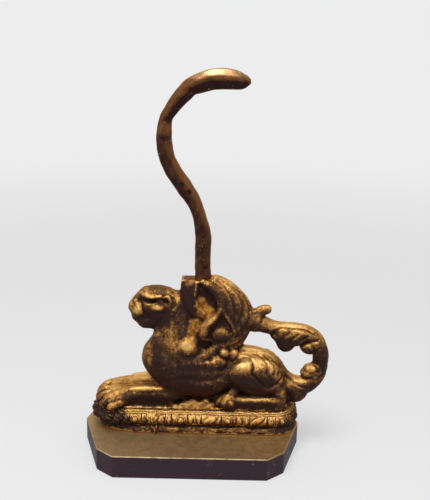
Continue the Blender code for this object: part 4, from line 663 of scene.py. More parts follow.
def sculptLion():
    # The near half is modelled and roughened, doubled, cut flat below and skinned
    clay = Clay(sculpture["low"], sculpture["high"], sculpture["cell"])
    for model in (
        modelBody, modelBoss, modelWings, modelWingCurl, modelTail, modelHindlegs,
        modelHaunchLeaf, modelCoverts, modelHead, modelForelegs, modelGround,
    ):
        model(clay)
        print("  modelled", model.__name__)
    for step, height in sculpture["ripples"]:
        clay.field += height * latticeNoise(clay.field.shape, step / clay.cell, int(10 * step))
    field = clay.both()
    heights = clay.low[2] + clay.cell * np.arange(field.shape[2])
    field = np.maximum(field, (sculpture["foot"] - heights)[None, None, :].astype(np.float32))
    points, faces = skinOf(field, clay.low, clay.cell)
    return meshObject("winged_lion", points * toMetres + np.array([middle, 0, 0]), faces)


lion = sculptLion()
print("lion skinned:", len(lion.data.vertices), "points")
thin = lion.modifiers.new("fewer faces", "DECIMATE")
thin.ratio = min(1, sculpture["triangles"] / (2 * len(lion.data.polygons)))
bpy.context.view_layer.update()
thinned = bpy.data.meshes.new_from_object(lion.evaluated_get(bpy.context.evaluated_depsgraph_get()))
lion.modifiers.clear()
lion.data = thinned
thinned.shade_smooth()
addRelief(lion)
print("lion thinned:", len(lion.data.polygons), "faces")
addPatches(lion, "rust", sculpture["rust"])
addPatches(lion, "wearAndPaintedLight", sculpture["wearAndPaintedLight"])
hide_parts("lion_casting")
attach(lion, "root")


# Handle: a bar of changing section carried along an S, forged round below and to facets above

handle = {
    "around": 72,
    "spacing": 1.1,
    # The round shank below, as (height, radius)
    "shank": [(2.15, 5.2), (2.9, 6), (100, 6), (187.2, 6)],
    # The middle line of the rod, as (x, z, half width)
    "line": [
        (8.6, 187.4, 8.2), (8.7, 194, 8.3), (8.4, 210, 8.1), (8.5, 227.5, 8.1), (7.6, 240.5, 7.7),
        (4.9, 251, 6.9), (1.2, 262.8, 7.0), (-4.5, 274.1, 7.7), (-11.2, 283.8, 8.2), (-17.7, 292.9, 8.0),
        (-23.1, 301.5, 8.2), (-27.4, 310.6, 8.0), (-30.6, 321.4, 8.0), (-31.6, 330.3, 7.7),
        (-31.2, 341.5, 7.2), (-29.5, 351.5, 6.6), (-25.9, 358.7, 6.9), (-20.2, 367, 7.7), (-12.7, 375.7, 8.4),
        (-6.1, 382.2, 8.7), (1.8, 386, 9.7), (10.1, 389.0, 10.3), (21.2, 390.8, 10.6), (31, 390.6, 10.2),
        (40, 389.7, 8.9), (45, 389.5, 7.2), (49.3, 390.1, 4.8), (50.8, 390.6, 3.2),
    ],
    "tip": (51.6, 391.0),
    # Planes of the forged part, as (degrees from the side, distance as a share of the half width)
    "facets": [(90, 1.0), (39, 0.851), (10.5, 0.81), (-22, 0.749), (-65, 0.933), (-90, 1.0)],
    "sharpness": 26,
    "stemDepth": 7.9,
    "squareness": 2.5,
    "forgedFrom": (336, 352),
    # Hammered unevenness, as (height, waves round, radians per millimetre along, start), not at the thin tip
    "waves": [(0.16, 2, 0.11, 0), (0.14, 3, -0.17, 1), (0.12, 1, 0.31, 2), (0.07, 5, 0.53, 0)],
    "smoothBelow": 6,
    # Dents in the near side, as ((x, z), size, depth)
    "scars": [((-6, 279.5), 2.4, 0.9), ((-13.5, 287), 3.2, 0.7), ((11, 201), 2, 0.6), ((-33, 333), 2.4, 0.5)],
}


def handleRadius(angles, half, share):
    # The stem's section is a superellipse. Above, each facet is a plane at distance d, and the section's
    # radius is the soft least of d / cos(angle from the facet). The share blends the first into the second
    depth, power, sharp = handle["stemDepth"], handle["squareness"], handle["sharpness"]
    stem = (np.abs(np.cos(angles) / depth) ** power + np.abs(np.sin(angles) / half) ** power) ** (-1 / power)
    total = np.zeros_like(angles + half)
    for degrees, distance in handle["facets"]:
        for facing in {math.radians(degrees), math.pi - math.radians(degrees)}:
            total = total + np.maximum(np.cos(angles - facing), 0) ** sharp / distance**sharp
    return stem * (1 - share) + half * total ** (-1 / sharp) * share


def forgeHandle():
    # Rings square to the middle line, each the section's radius times the unit circle, above a plain shank
    line = smoothLine(handle["line"], handle["spacing"])
    half = line[:, 2:3]
    tangent = np.gradient(line[:, :2], axis=0)
    tangent /= np.linalg.norm(tangent, axis=1)[:, None]
    outward = np.stack([-tangent[:, 1], np.zeros(len(line)), tangent[:, 0]], axis=1)
    angles = np.linspace(0, 2 * np.pi, handle["around"], endpoint=False)[None, :]
    low, high = handle["forgedFrom"]
    share = np.clip((line[:, 1:2] - low) / (high - low), 0, 1)
    along = np.arange(len(line))[:, None] * handle["spacing"]
    uneven = 0
    for height, count, pace, start in handle["waves"]:
        uneven = uneven + height * np.sin(count * angles + along * pace + start)
    radius = handleRadius(angles, half, share * share * (3 - 2 * share))
    radius = radius + uneven * (half > handle["smoothBelow"])
    side = -np.cos(angles)[..., None] * np.array([0, 1, 0])
    rings = np.stack([line[:, 0], np.zeros(len(line)), line[:, 1]], axis=1)[:, None, :]
    rings = rings + radius[..., None] * (side + np.sin(angles)[..., None] * outward[:, None, :])
    for (x, z), size, depth in handle["scars"]:
        near = np.exp(-((rings[..., 0] - x) ** 2 + (rings[..., 2] - z) ** 2) / size**2) * (rings[..., 1] < 0)
        rings[..., 1] += depth * near
    heights, widths = np.array(handle["shank"]).T
    shank = np.zeros((len(heights), handle["around"], 3))
    shank[..., 0] = line[0, 0] - widths[:, None] * np.sin(angles)
    shank[..., 1] = -widths[:, None] * np.cos(angles)
    shank[..., 2] = heights[:, None]
    rings = np.concatenate([shank, rings])[:, ::-1]
    foot, head = (line[0, 0], 0, heights[0]), (handle["tip"][0], 0, handle["tip"][1])
    return ringedObject("forged_handle", rings, foot, head)


handleBar = forgeHandle()
addRelief(handleBar)
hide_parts("handle_rod")
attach(handleBar, "root")
print("handle forged:", len(handleBar.data.polygons), "faces")


# Cushion: a profile carried round a rectangle with round ends, with cast ornament raised on it

cushion = {
    "around": 980,
    "up": 74,
    "halfLength": 109.5,
    "halfDepth": 30.75,
    "corner": 27.0,
    "centre": 3.2,
    "bottom": 24.57,
    # The profile from the foot to the flat top, as (height, inset)
    "profile": [
        (0, 0.9), (1.2, 0.4), (3, 0.8), (5.2, 2.0), (7.2, 3.4), (8.6, 3.8), (10, 2.4), (11.4, 1.2),
        (13.2, 0.5), (15.2, 0.3), (17.4, 1.0), (19.2, 2.2), (20.2, 3.6), (20.7, 4.3), (21.2, 4.0),
        (21.7, 4.4), (22.1, 5.4), (22.6, 5.1), (23.2, 5.6), (23.6, 7), (23.6, 9), (23.6, 12),
    ],
    # The eggs of the band, as (place round the plan, width, lean, 1 for a ringed one), and the grooves
    # between them, as (place, lean)
    "eggs": [
        (-69.1, 5, 0, 0), (-59.2, 10, 0, 1), (-32.4, 7.6, 0.2, 0), (-23.7, 4.6, 0.1, 0),
        (-11.4, 10.4, 0.1, 1), (-1.1, 4.6, 0, 0), (7.6, 4, 0, 0), (18.6, 12, 0.7, 0), (28.5, 3.8, 0.3, 0),
        (37.8, 9.4, 0, 1), (49.8, 5.6, 0, 0), (57.6, 5, 0, 1), (67.5, 10.8, 0.9, 0), (77, 3, 0.3, 0),
        (83, 6.4, 0, 0), (95.4, 7, 0, 1), (107, 8, 0, 0), (118, 9, 0, 0), (-78, 7, -0.4, 0),
        (-88, 8, 0.3, 0), (-99, 7, 0, 0), (-110, 8, 0.2, 0), (-121, 8, 0, 0),
    ],
    "grooves": [
        (-72.3, 0), (-65.2, 0.1), (-52.6, 0), (-28.1, 0.2), (-20.4, -0.1), (-4.4, 0), (2.2, 0.1), (4.7, -0.1),
        (10.2, 0), (25.4, 0.55), (31.6, -0.1), (46.3, 0.1), (53.7, 0), (61.1, 0), (74.4, 0.6), (79.2, 0),
        (88.2, 0), (101.4, 0), (112.6, 0), (-82.6, 0.3), (-94, -0.2), (-105, 0.1), (-115.5, 0),
    ],
    "eggMiddle": 15.2,
    "eggHalf": 5.4,
    "bandTop": 20.6,
    # How far out from an egg's middle its outline, its inner ring and the boss inside that reach
    "eggOutline": 1.06,
    "eggRing": 0.68,
    "eggBoss": 0.55,
    # Width and depth of a groove
    "groove": (0.5, 1.15),
    # The rolled edge under the eggs, and its waves as (height, length, shift, start in radians)
    "edgeHeight": 9.3,
    "edgeWaves": [(0.9, 41, 4, 0), (0.5, 17, 0, 1)],
    # The rim's ripple, as (height, length, how far above the edge, half width)
    "ripple": (0.25, 6.7, 1.0, 1.2),
    # The hollow, as (depth, how far below the edge)
    "hollow": (0.9, 2.2),
    # The hanging leaf, as (place, half width, foot, head), how far it leans and how high it stands out
    "leaf": (-42.3, 7.4, 0.9, 20.6),
    "leafLean": 4.2,
    "leafRelief": 2.1,
    # Its lobes, as (share of the width, radians up the leaf), its rib, as (height, width), and its veins
    "leafLobes": (0.12, 22),
    "leafRib": (0.5, 0.7),
    "leafVeins": 0.16,
    # The end that is cut back, as (place where it starts, place where it is full, depth)
    "undercut": (-60, -84, 6.5),
    # The height that it reaches, and over how much it fades out below that
    "undercutTop": (9.5, 5),
    # Roughness, as (step, height, seed), how many steps from the seam it is full, and above what height
    "rough": ((3.4, 0.35, 5), (9, 0.3, 6)),
    "seam": 12,
    "roughAbove": 21,
    # No ornament stands on the top, where the profile is further in than this
    "plainInset": 6.5,
    # Patches of wear and painted light: painted shade darkens both ends, and a band along the top is a little
    # golder
    "wearAndPaintedLight": [
        (-100, 42, 24, 14, -1.2), (-76, 40, 9, 12, -0.5), (116, 38, 12, 14, -1.3), (98, 34, 10, 8, -0.5),
        (-20, 46, 60, 2.5, 0.2),
    ],
}


def cushionOutline():
    # Even steps round a rectangle with round ends, from the middle of the near side, with the direction out
    # and the place: how far round from the middle, measured towards the tail and mirrored on the far side
    halfX, halfY, corner = (cushion[name] for name in ("halfLength", "halfDepth", "corner"))
    straight, short, bend = halfX - corner, halfY - corner, corner * math.pi / 2
    quarter = straight + bend + short
    steps = (np.arange(cushion["around"]) + 0.5) * 4 * quarter / cushion["around"]
    halfWay = steps % (2 * quarter)
    folded = np.where(halfWay > quarter, 2 * quarter - halfWay, halfWay)
    turn = np.clip((folded - straight) / corner, 0, math.pi / 2)
    x = np.minimum(folded, straight) + corner * np.sin(turn)
    y = -short - corner * np.cos(turn) + np.maximum(folded - straight - bend, 0)
    nx, ny = np.sin(turn), -np.cos(turn)
    # The four quarters: near right, far right, far left, near left
    part = (steps // quarter).astype(int)
    sx = np.where(part < 2, 1, -1)
    sy = np.where((part == 0) | (part == 3), 1, -1)
    place = folded * sx + cushion["centre"]
    return np.stack([x * sx, y * sy], axis=1), np.stack([nx * sx, ny * sy], axis=1), place


def cushionRelief(place, height):
    # Outward height of the ornament, by the place round the plan and the height up the side
    relief = np.zeros(np.broadcast(place, height).shape)
    up = height - cushion["eggMiddle"]
    fold = cushion["edgeHeight"]
    for rise, length, shift, start in cushion["edgeWaves"]:
        fold = fold + rise * np.sin((place + shift) * 2 * np.pi / length + start)
    bandShare = np.clip((height - fold - 0.4) / 1.2, 0, 1) * np.clip(cushion["bandTop"] - height, 0, 1)
    width, depth = cushion["groove"]
    for centre, wide, lean, ringed in cushion["eggs"]:
        # A flat-topped egg: raised by one less the cube of the distance out from its middle
        beside = (place - centre - lean * up) / (wide / 2)
        above = (up + 0.2) / cushion["eggHalf"]
        out = np.sqrt(beside**2 + above**2)
        tall = 0.9 + 0.06 * wide
        dome = tall * np.maximum(1 - out**3, 0)
        outline = np.exp(-(((out - cushion["eggOutline"]) * wide / 2) / width) ** 2) * (out < 1.6)
        if ringed:
            outline = outline + 0.7 * np.exp(-(((out - cushion["eggRing"]) * wide / 2) / width) ** 2)
            dome = dome + 0.5 * tall * np.maximum(1 - (out / cushion["eggBoss"]) ** 2, 0)
        relief = np.maximum(relief, dome * bandShare) - depth * 0.75 * outline * bandShare
    for centre, lean in cushion["grooves"]:
        relief -= bandShare * depth * np.exp(-((place - centre - lean * up) / width) ** 2)
    # A rolled edge under the eggs, wavy like the rim of a shell, and a plain hollow below it: bell curves
    sunk, fall = cushion["hollow"]
    relief += np.exp(-((height - fold) ** 2)) - sunk * np.exp(-((height - fold + fall) ** 2))
    rise, length, higher, spread = cushion["ripple"]
    ripple = rise * np.sin(place * 2 * np.pi / length)
    relief += ripple * np.exp(-((height - fold - higher) / spread) ** 2)
    # Acanthus leaf that hangs over the band: a lobed outline, a middle rib and veins that rise from it
    centre, wide, low, high = cushion["leaf"]
    share = np.clip((height - low) / (high - low), 0, 1)
    lobe, waves = cushion["leafLobes"]
    reach = wide * np.clip(share * 0.85 + 0.36, 0, 1) * (1 - lobe + lobe * np.cos(share * waves))
    across = place - centre - cushion["leafLean"] * (1 - share)
    off = across / reach
    inside = np.clip((1 - np.abs(off)) * 3, 0, 1) * (height > low) * (height < high + 0.6)
    rib, thin = cushion["leafRib"]
    leaf = cushion["leafRelief"] + rib * np.exp(-((across / thin) ** 2)) - 0.9 * off**2
    leaf = leaf + cushion["leafVeins"] * np.cos((height - low) * 1.5 - np.abs(across) * 1.2)
    relief = relief * (1 - inside) + leaf * inside
    # The left end is cut back under its lumps of leaf, which are the product of two slanting waves
    first, last, deep = cushion["undercut"]
    top, fade = cushion["undercutTop"]
    relief -= deep * np.clip((first - place) / (first - last), 0, 1) * np.clip((top - height) / fade, 0, 1)
    lumps = np.sin(place * 0.62 + up * 0.5) * np.sin(up * 0.85 + place * 0.21) * 1.2 - 0.6
    return relief + lumps * np.clip((-66 - place) / 8, 0, 1) * np.clip((height - 7) / 3, 0, 1)


def castCushion():
    # Each ring is the plan moved outwards by the relief less the profile's inset, at the profile's height
    plan, facing, place = cushionOutline()
    knots = np.array(cushion["profile"], float)
    profile = smoothLine(knots, 0.1)
    lengths = np.concatenate([[0], np.cumsum(np.linalg.norm(np.diff(profile, axis=0), axis=1))])
    even = np.linspace(0, lengths[-1], cushion["up"])
    height, inset = (np.interp(even, lengths, profile[:, i])[:, None] for i in (0, 1))
    relief = cushionRelief(place[None, :], height)
    counts = cushion["up"], cushion["around"]
    rough = 0
    for step, rise, seed in cushion["rough"]:
        rough = rough + latticeNoise(counts, step, seed) * rise
    steps = np.arange(cushion["around"])
    seam = np.minimum(steps, steps[::-1]) / cushion["seam"]
    rough = rough * np.clip(seam, 0, 1)[None, :]
    share = 0.35 + 0.65 * (height > cushion["roughAbove"])
    relief = relief * (inset < cushion["plainInset"]) + rough * share
    lift = np.where(inset > 6, rough * 0.9, 0)
    flat = plan[None, :, :] + facing[None, :, :] * (relief - inset)[..., None]
    rings = np.concatenate([flat, (height + lift + cushion["bottom"])[..., None]], axis=-1)
    rings[..., 0] += cushion["centre"]
    rings[0, :, 2] = cushion["bottom"]
    foot = (cushion["centre"], 0, cushion["bottom"])
    head = (cushion["centre"], 0, cushion["bottom"] + knots[-1, 0])
    return ringedObject("gadrooned_cushion", rings, foot, head)


cushionCasting = castCushion()
addRelief(cushionCasting)
addPatches(cushionCasting, "wearAndPaintedLight", cushion["wearAndPaintedLight"])
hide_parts("plinth_casting")
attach(cushionCasting, "root")
print("cushion cast:", len(cushionCasting.data.polygons), "faces")


# Materials

class Value:
    # A socket that can be used in sums, which add their nodes as they are worked out
    def __init__(self, tree, socket):
        self.tree, self.socket = tree, socket

    def math(self, operation, *values):
        node = self.tree.add("ShaderNodeMath", {"operation": operation}, dict(enumerate(values)))
        return Value(self.tree, node.outputs[0])

    def __add__(self, other):
        return self.math("ADD", self, other)

    def __radd__(self, other):
        return self.math("ADD", other, self)

    def __sub__(self, other):
        return self.math("SUBTRACT", self, other)

    def __rsub__(self, other):
        return self.math("SUBTRACT", other, self)

    def __mul__(self, other):
        return self.math("MULTIPLY", self, other)

    def __rmul__(self, other):
        return self.math("MULTIPLY", other, self)

    def __pow__(self, other):
        return self.math("POWER", self, other)

    def __abs__(self):
        return self.math("ABSOLUTE", self)

    def between(self, low, high):
        # 0 below the first value, 1 above the second, smooth between
        settings = {"interpolation_type": "SMOOTHSTEP"}
        values = {"Value": self, "From Min": low, "From Max": high, "To Min": 0.0, "To Max": 1.0}
        node = self.tree.add("ShaderNodeMapRange", settings, values)
        return Value(self.tree, node.outputs[0])


class Nodes:
    # A node tree, with one method for every node
    def __init__(self, tree):
        self.nodes, self.links = tree.nodes, tree.links

    def join(self, value, socket):
        # A link from a value or a socket, or a plain setting
        if isinstance(value, Value):
            value = value.socket
        if isinstance(value, bpy.types.NodeSocket):
            self.links.new(value, socket)
        elif socket.type == "RGBA":
            socket.default_value = (*value, 1)
        else:
            socket.default_value = value

    def add(self, kind, settings={}, values={}):
        node = self.nodes.new(kind)
        for name, setting in settings.items():
            setattr(node, name, setting)
        for name, value in values.items():
            self.join(value, node.inputs[name])
        return node

    def seen(self):
        # 1 for rays that show a surface: straight to the camera, by a reflection or through glass
        path = self.add("ShaderNodeLightPath")
        rays = ("Is Camera Ray", "Is Glossy Ray", "Is Transmission Ray")
        camera, glossy, through = (Value(self, path.outputs[ray]) for ray in rays)
        seen = camera.math("MAXIMUM", camera, glossy)
        return seen.math("MAXIMUM", seen, through)


class Finish(Nodes):
    # A material on the object's own coordinates
    def __init__(self, name):
        self.material = bpy.data.materials.new(name)
        self.material.use_nodes = True
        super().__init__(self.material.node_tree)
        self.shader = self.nodes["Principled BSDF"]
        self.place = self.add("ShaderNodeTexCoord").outputs["Object"]

    def noise(self, scale, detail=4, roughness=0.55):
        values = {"Vector": self.place, "Scale": scale, "Detail": detail, "Roughness": roughness}
        return Value(self, self.add("ShaderNodeTexNoise", {}, values).outputs[0])

    def attribute(self, name):
        return Value(self, self.add("ShaderNodeAttribute", {"attribute_name": name}).outputs["Fac"])

    def parts(self):
        split = self.add("ShaderNodeSeparateXYZ", {}, {"Vector": self.place})
        return [Value(self, split.outputs[axis]) for axis in "XYZ"]

    def mix(self, share, first, second):
        node = self.add("ShaderNodeMix", {"data_type": "RGBA", "clamp_factor": True})
        sockets = {socket.name: socket for socket in node.inputs if socket.enabled}
        for name, value in (("Factor", share), ("A", first), ("B", second)):
            self.join(value, sockets[name])
        return next(socket for socket in node.outputs if socket.enabled)

    def feed(self, **values):
        for name, value in values.items():
            self.join(value, self.shader.inputs[name.replace("_", " ")])

    def bump(self, height, distance, strength):
        node = self.add("ShaderNodeBump", {}, {"Height": height, "Distance": distance, "Strength": strength})
        self.feed(Normal=node.outputs[0])


patina = {
    # Colours from the proud places to the hollow ones, and of the rust
    "gold": (0.66, 0.395, 0.135),
    "amber": (0.41, 0.20, 0.048),
    "brown": (0.135, 0.062, 0.024),
    "dark": (0.027, 0.0135, 0.0125),
    "rust": (0.26, 0.085, 0.015),
    "rustGold": (0.62, 0.33, 0.060),
    # How far along the sum of wear and painted light a place is where each colour comes in
    "browned": (0.0, 0.4),
    "ambered": (0.3, 0.7),
    "gilded": (0.6, 1.0),
    "rusted": (0.25, 0.8),
    "rustShare": 0.85,
    # Noises, as (scale, detail, roughness)
    "patches": (45, 5, 0.62),
    "spots": (230, 5, 0.65),
    "grain": (620, 3, 0.65),
    "metallic": 0.55,
    "roughness": 0.42,
    "gloss": 0.25,
    "sheen": (1.0, 0.62, 0.40),
    # Height of the pits and how strongly they show
    "bump": (0.0014, 0.8),
    # What makes up each piece's sum of wear and painted light, and the sums where it is quite dark and quite
    # golden
    # The up weight is painted light: faces that look upwards are made golder, as if lit from above
    "lion": {"crest": 2.7, "form": 0.5, "up": 0.95, "patchy": 1.3, "speckle": 1.9, "wornAndLit": (-0.5, 2.05)},
    "cushion": {"crest": 3.0, "form": 0.5, "up": 0.35, "patchy": 1.3, "speckle": 1.2, "wornAndLit": (-0.65, 0.95)},
}
lowDarkening = {
    # Heights between which the darkening towards the bottom and the fringe at the foot end, and how ragged
    # each is
    "height": (0.0325, 0.0365),
    "fringe": (0.0250, 0.0282),
    "ragged": (0.003, 0.010),
    # How much each of the two takes off the sum of wear and painted light
    "hides": (0.35, 2.0),
    # The noise that breaks up the fringe, and where it starts and is full
    "gaps": (110, 3),
    "broken": (0.49, 0.56),
}


def wornBronze(name, weights, darkenedLow=False):
    # Bronzed iron, gold where it stands proud, brown between and near black where it is hollow, with painted
    # light: golder where it faces up, and listed patches of painted highlight, painted shade and wear. Wear
    # and painted light together are a weighted sum of the crests, the form, the slope, the patches and noise
    # less its mean
    made = Finish(name)
    crest, form, up = (made.attribute(part) for part in ("crest", "form", "up"))
    patches, spots, grain = (made.noise(*patina[part]) for part in ("patches", "spots", "grain"))
    # Painted light: the up weight makes faces that look upwards golder, and the listed patches add painted
    # highlights and painted shade
    wearAndPaintedLight = crest * weights["crest"] + form * weights["form"] + up * weights["up"] + made.attribute("wearAndPaintedLight")
    wearAndPaintedLight = wearAndPaintedLight + (patches - 0.5) * weights["patchy"] + (spots + grain - 1) * weights["speckle"]
    if darkenedLow:
        # Darker towards the bottom and darker still at the very foot, with a broken golden fringe there
        height = made.parts()[2]
        high, low = (height + (spots - 0.5) * ragged for ragged in lowDarkening["ragged"])
        lowDark, foot = 1 - high.between(*lowDarkening["height"]), 1 - low.between(*lowDarkening["fringe"])
        wearAndPaintedLight = wearAndPaintedLight - lowDark * lowDarkening["hides"][0] - foot * lowDarkening["hides"][1]
        rust = foot * made.noise(*lowDarkening["gaps"]).between(*lowDarkening["broken"])
        tone = made.mix(grain.between(0.4, 0.6), patina["rustGold"], patina["gold"])
    else:
        rust = (made.attribute("rust") + (spots - 0.5) * 0.8 - crest * 0.5).between(*patina["rusted"])
        tone = made.mix(spots.between(0.4, 0.65), patina["rust"], patina["rustGold"])
    wornAndLit = wearAndPaintedLight.between(*weights["wornAndLit"])
    colour = made.mix(wornAndLit.between(*patina["browned"]), patina["dark"], patina["brown"])
    colour = made.mix(wornAndLit.between(*patina["ambered"]), colour, patina["amber"])
    colour = made.mix(wornAndLit.between(*patina["gilded"]), colour, patina["gold"])
    colour = made.mix(rust * patina["rustShare"], colour, tone)
    made.feed(Base_Color=colour, Metallic=patina["metallic"] + wornAndLit * 0.4 - rust * 0.3)
    made.feed(Specular_IOR_Level=patina["gloss"], Specular_Tint=patina["sheen"])
    made.feed(Roughness=patina["roughness"] - wornAndLit * 0.13 + rust * 0.2 + (grain - 0.5) * 0.14)
    made.bump(grain * 0.4 + spots * 1.3 + patches * 0.5, *patina["bump"])
    return made.material


bar = {
    # Painted shade and painted light of the bar, then its rubbed gold, which is part painted highlight
    "shaded": (0.022, 0.0085, 0.0085),
    "lit": (0.150, 0.062, 0.021),
    "rubbedAndLit": (0.55, 0.40, 0.20),
    "specks": (0.45, 0.27, 0.10),
    # Heights between which the rod becomes the part that a hand holds
    "grip": (0.30, 0.37),
    "patches": (30, 4, 0.6),
    "spots": (420, 3, 0.7),
    "grain": (1500, 2),
    "metallic": 0.6,
    "roughness": 0.36,
    "gloss": 0.2,
    "sheen": (1.0, 0.62, 0.42),
    "bump": (0.0006, 0.5),
}


def rodFinish():
    # Dark red-brown bar with painted light: lighter where it faces up and where it stands out, and rubbed
    # gold along the top of the part that is held, which is part wear and part painted highlight, with fine
    # specks
    made = Finish("hand_polished_bar")
    up, form, height = made.attribute("up"), made.attribute("form"), made.parts()[2]
    patches, spots, grain = (made.noise(*bar[part]) for part in ("patches", "spots", "grain"))
    raised = height.between(*bar["grip"])
    # Rubbed gold where the grip faces up: worn by the hand and also a painted highlight
    heldAndLit = up + (patches - 0.5) * 0.5 + (grain - 0.5) * 0.2
    rubbedAndLit = heldAndLit.between(0.42, 1.0) * (raised * 0.9 + 0.1)
    # Painted light: the lit colour where the bar faces up and stands out, the shaded colour elsewhere
    facingLight = up * 1.4 + form * 0.8 + raised * 0.1 + (patches - 0.5) * 0.55 + (grain - 0.5) * 0.5
    lit = facingLight.between(-0.22, 0.82)
    wornAndLit = (rubbedAndLit + lit * 0.4).between(0.0, 1.1)
    colour = made.mix(lit, bar["shaded"], bar["lit"])
    colour = made.mix(rubbedAndLit, colour, bar["rubbedAndLit"])
    colour = made.mix(spots.between(0.66, 0.71) * 0.8, colour, bar["specks"])
    made.feed(Base_Color=colour, Metallic=bar["metallic"] + wornAndLit * 0.35)
    made.feed(Specular_IOR_Level=bar["gloss"], Specular_Tint=bar["sheen"])
    made.feed(Roughness=bar["roughness"] - wornAndLit * 0.1 + (spots - 0.5) * 0.15)
    made.bump(grain * 0.4 + spots * 0.5 + patches, *bar["bump"])
    return made.material


base = {
    "top": 0.0243,
    # How far below the top its colour starts and is full
    "band": (0.0016, 0.0004),
    # How far below the top the pale line starts, is full and ends
    "line": (0.0007, 0.0003, 0.00015),
    # The line stops towards the right, and is faint towards the left
    "lineRight": (0.055, 0.075),
    "lineLeft": (-0.112, -0.098),
    "topColour": (0.29, 0.168, 0.060),
    "topGold": (0.56, 0.34, 0.115),
    "topDull": (0.30, 0.205, 0.115),
    "sideColour": (0.040, 0.022, 0.031),
    "sideSpecks": (0.30, 0.13, 0.07),
    "edgeColour": (0.80, 0.66, 0.50),
    "patches": (22, 5, 0.6),
    "streaks": (120, 4, 0.6),
    "grain": (600, 3, 0.6),
    "metallic": 0.2,
    "roughness": 0.55,
    "gloss": 0.15,
    "bump": (0.0006, 0.5),
}


def baseFinish():
    # Olive brown above, near black with rusty specks on the sides, and a pale line rubbed along the top edge
    made = Finish("blackened_base")
    x, y, z = made.parts()
    patches, streaks, grain = (made.noise(*base[part]) for part in ("patches", "streaks", "grain"))
    start, full = (base["top"] - depth for depth in base["band"])
    above = (z + (streaks - 0.5) * 0.0012).between(start, full)
    # The top is golden near its middle line, and duller towards the left end and the long edges
    out = abs(y)
    golden = (patches - 0.35 - x * 1.2 - out * 3).between(-0.2, 0.4)
    top = made.mix(golden + (grain - 0.5) * 2.2 + (streaks - 0.5) * 0.8, base["topColour"], base["topGold"])
    dull = (0.35 - x * 5 + out * 6 + patches * 0.4).between(0.3, 1.0)
    top = made.mix(dull * 0.6, top, base["topDull"])
    specks = (streaks * 0.6 + grain * 0.4).between(0.60, 0.68)
    side = made.mix(specks * 0.7, base["sideColour"], base["sideSpecks"])
    colour = made.mix(above, side, top)
    # The pale line lies on the rounded edge, just below the flat top
    outer, inner, rim = (base["top"] - depth for depth in base["line"])
    edge = (z + (streaks - 0.5) * 0.0006).between(outer, inner) * (1 - z.between(inner, rim))
    edge = edge * (streaks + 0.1).between(0.4, 0.6) * (1 - x.between(*base["lineRight"]))
    edge = edge * (x.between(*base["lineLeft"]) * 0.75 + 0.25)
    colour = made.mix(edge, colour, base["edgeColour"])
    made.feed(Base_Color=colour, Metallic=base["metallic"] + above * 0.65)
    made.feed(Specular_IOR_Level=base["gloss"], Roughness=base["roughness"] + (streaks - 0.5) * 0.3)
    made.bump(grain * 0.5 + streaks + patches * 0.5, *base["bump"])
    return made.material


fastening = {
    "rust": (0.16, 0.065, 0.03),
    "rusted": (0.52, 0.66),
    "metallic": 0.6,
    "roughness": 0.42,
    "bump": (0.0004, 0.5),
    # Each fastening's own black, and the scale of its rust
    "colours": {
        "plate_washer": ((0.030, 0.026, 0.026), 160),
        "square_nut": ((0.036, 0.030, 0.028), 200),
        "fixing_screw_left": ((0.045, 0.036, 0.030), 260),
        "fixing_screw_right": ((0.042, 0.034, 0.030), 240),
    },
}


def blackenedFinish(name, colour, scale):
    # Plain blackened ironware, duller and rougher where there is a little rust
    made = Finish("blackened_" + name)
    patches, grain = made.noise(scale, 4, 0.6), made.noise(scale * 12, 3, 0.6)
    rust = (patches * 0.7 + grain * 0.3).between(*fastening["rusted"])
    colour = made.mix(rust * 0.6, colour, fastening["rust"])
    made.feed(Base_Color=colour, Metallic=fastening["metallic"] - rust * 0.4)
    made.feed(Roughness=fastening["roughness"] + rust * 0.3 + (grain - 0.5) * 0.15)
    made.bump(grain + patches, *fastening["bump"])
    return made.material


lion.data.materials.append(wornBronze("worn_bronzed_lion", patina["lion"]))
cushionCasting.data.materials.append(wornBronze("worn_bronzed_cushion", patina["cushion"], darkenedLow=True))
handleBar.data.materials.append(rodFinish())
finishes = {"base_casting": baseFinish()}
for name, (colour, scale) in fastening["colours"].items():
    finishes[name] = blackenedFinish(name, colour, scale)
for name, material in finishes.items():
    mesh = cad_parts[name].data
    mesh.materials.clear()
    mesh.materials.append(material)
print("finishes made")


# Floor, light and camera

studio = {
    "floorColour": (0.80, 0.80, 0.80),
    # Share of the background's plain colour that is seen in the floor near the object
    "floorShare": 0.55,
    "floorRadius": 3,
    "floorSides": 96,
    # How far from the middle the floor starts to fade into the background, and has gone
    "fade": (0.3, 1.6),
    # Lamps, as (name, power, size, place)
    "lamps": [
        ("key", 13.0, 0.7, (-0.15, -0.40, 1.35)),
        ("fill", 2.0, 1.2, (1.0, -0.8, 0.7)),
        ("side", 1.0, 0.9, (-1.0, -0.6, 0.5)),
    ],
    "target": (0, 0, 0.15),
    "sky": 0.42,
    "background": (0.85, 0.85, 0.86),
}


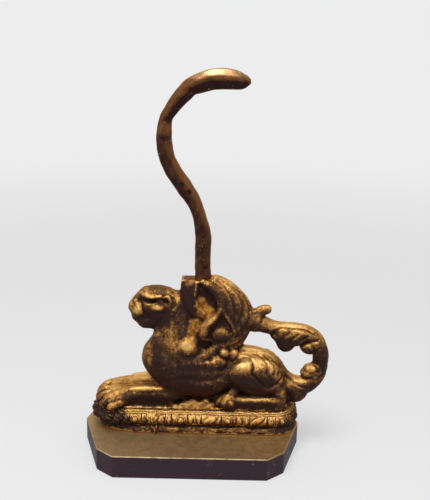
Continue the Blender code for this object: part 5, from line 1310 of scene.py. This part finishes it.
def layFloor():
    sides, radius = studio["floorSides"], studio["floorRadius"]
    angles = np.linspace(0, 2 * np.pi, sides, endpoint=False)
    rim = np.stack([radius * np.cos(angles), radius * np.sin(angles), np.zeros(sides)], axis=1)
    mesh = bpy.data.meshes.new("pale_floor")
    mesh.from_pydata(rim.tolist(), [], [list(range(sides))])
    floor = bpy.data.objects.new("pale_floor", mesh)
    bpy.context.scene.collection.objects.link(floor)
    finish = Finish("pale_floor")
    finish.feed(Base_Color=studio["floorColour"], Roughness=0.9)
    # Where the floor is seen, a part of it is the background's plain colour, and far away all of it is
    x, y = finish.parts()[:2]
    far = ((x * x + y * y) ** 0.5).between(*studio["fade"])
    share = finish.seen() * (far * (1 - studio["floorShare"]) + studio["floorShare"])
    plain = finish.add("ShaderNodeEmission", {}, {"Color": studio["background"]})
    shaders = {0: share, 1: finish.shader.outputs[0], 2: plain.outputs[0]}
    mixed = finish.add("ShaderNodeMixShader", {}, shaders)
    finish.join(mixed.outputs[0], finish.nodes["Material Output"].inputs["Surface"])
    mesh.materials.append(finish.material)


def hangLamp(name, power, size, place):
    light = bpy.data.lights.new(name, "AREA")
    light.energy = power
    light.size = size
    made = bpy.data.objects.new(name, light)
    bpy.context.scene.collection.objects.link(made)
    made.location = place
    made.rotation_euler = (Vector(studio["target"]) - Vector(place)).to_track_quat("-Z", "Y").to_euler()


def lightStudio():
    for settings in studio["lamps"]:
        hangLamp(*settings)
    # The background is at full strength where it is seen, reflected or looked through, and lights more weakly
    world = bpy.data.worlds.new("studio")
    world.use_nodes = True
    bpy.context.scene.world = world
    tree = Nodes(world.node_tree)
    background = tree.nodes["Background"]
    tree.join(studio["background"], background.inputs["Color"])
    tree.join(tree.seen() * (1 - studio["sky"]) + studio["sky"], background.inputs["Strength"])


# The camera's place from the middle of the base, its turn in degrees, and its lens and sensor in millimetres
view = {
    "place": (0.02065, -0.87099, 0.50152),
    "tilt": 72.0,
    "roll": 1.262,
    "lens": 43.2,
    "sensor": 24.0,
    "clip": (0.05, 20),
}


def placeCamera():
    camera = bpy.data.cameras.new("camera")
    camera.sensor_fit = "VERTICAL"
    camera.sensor_height = view["sensor"]
    camera.lens = view["lens"]
    camera.clip_start, camera.clip_end = view["clip"]
    made = bpy.data.objects.new("camera", camera)
    bpy.context.scene.collection.objects.link(made)
    x, y, z = view["place"]
    tilt = Matrix.Rotation(math.radians(view["tilt"]), 4, "X")
    roll = Matrix.Rotation(math.radians(view["roll"]), 4, "Z")
    made.matrix_world = Matrix.Translation((x + middle, y, z)) @ (tilt @ roll)
    bpy.context.scene.camera = made


layFloor()
lightStudio()
placeCamera()
print("studio set")
bpy.context.scene.view_settings.view_transform = "Standard"
bpy.context.view_layer.update()
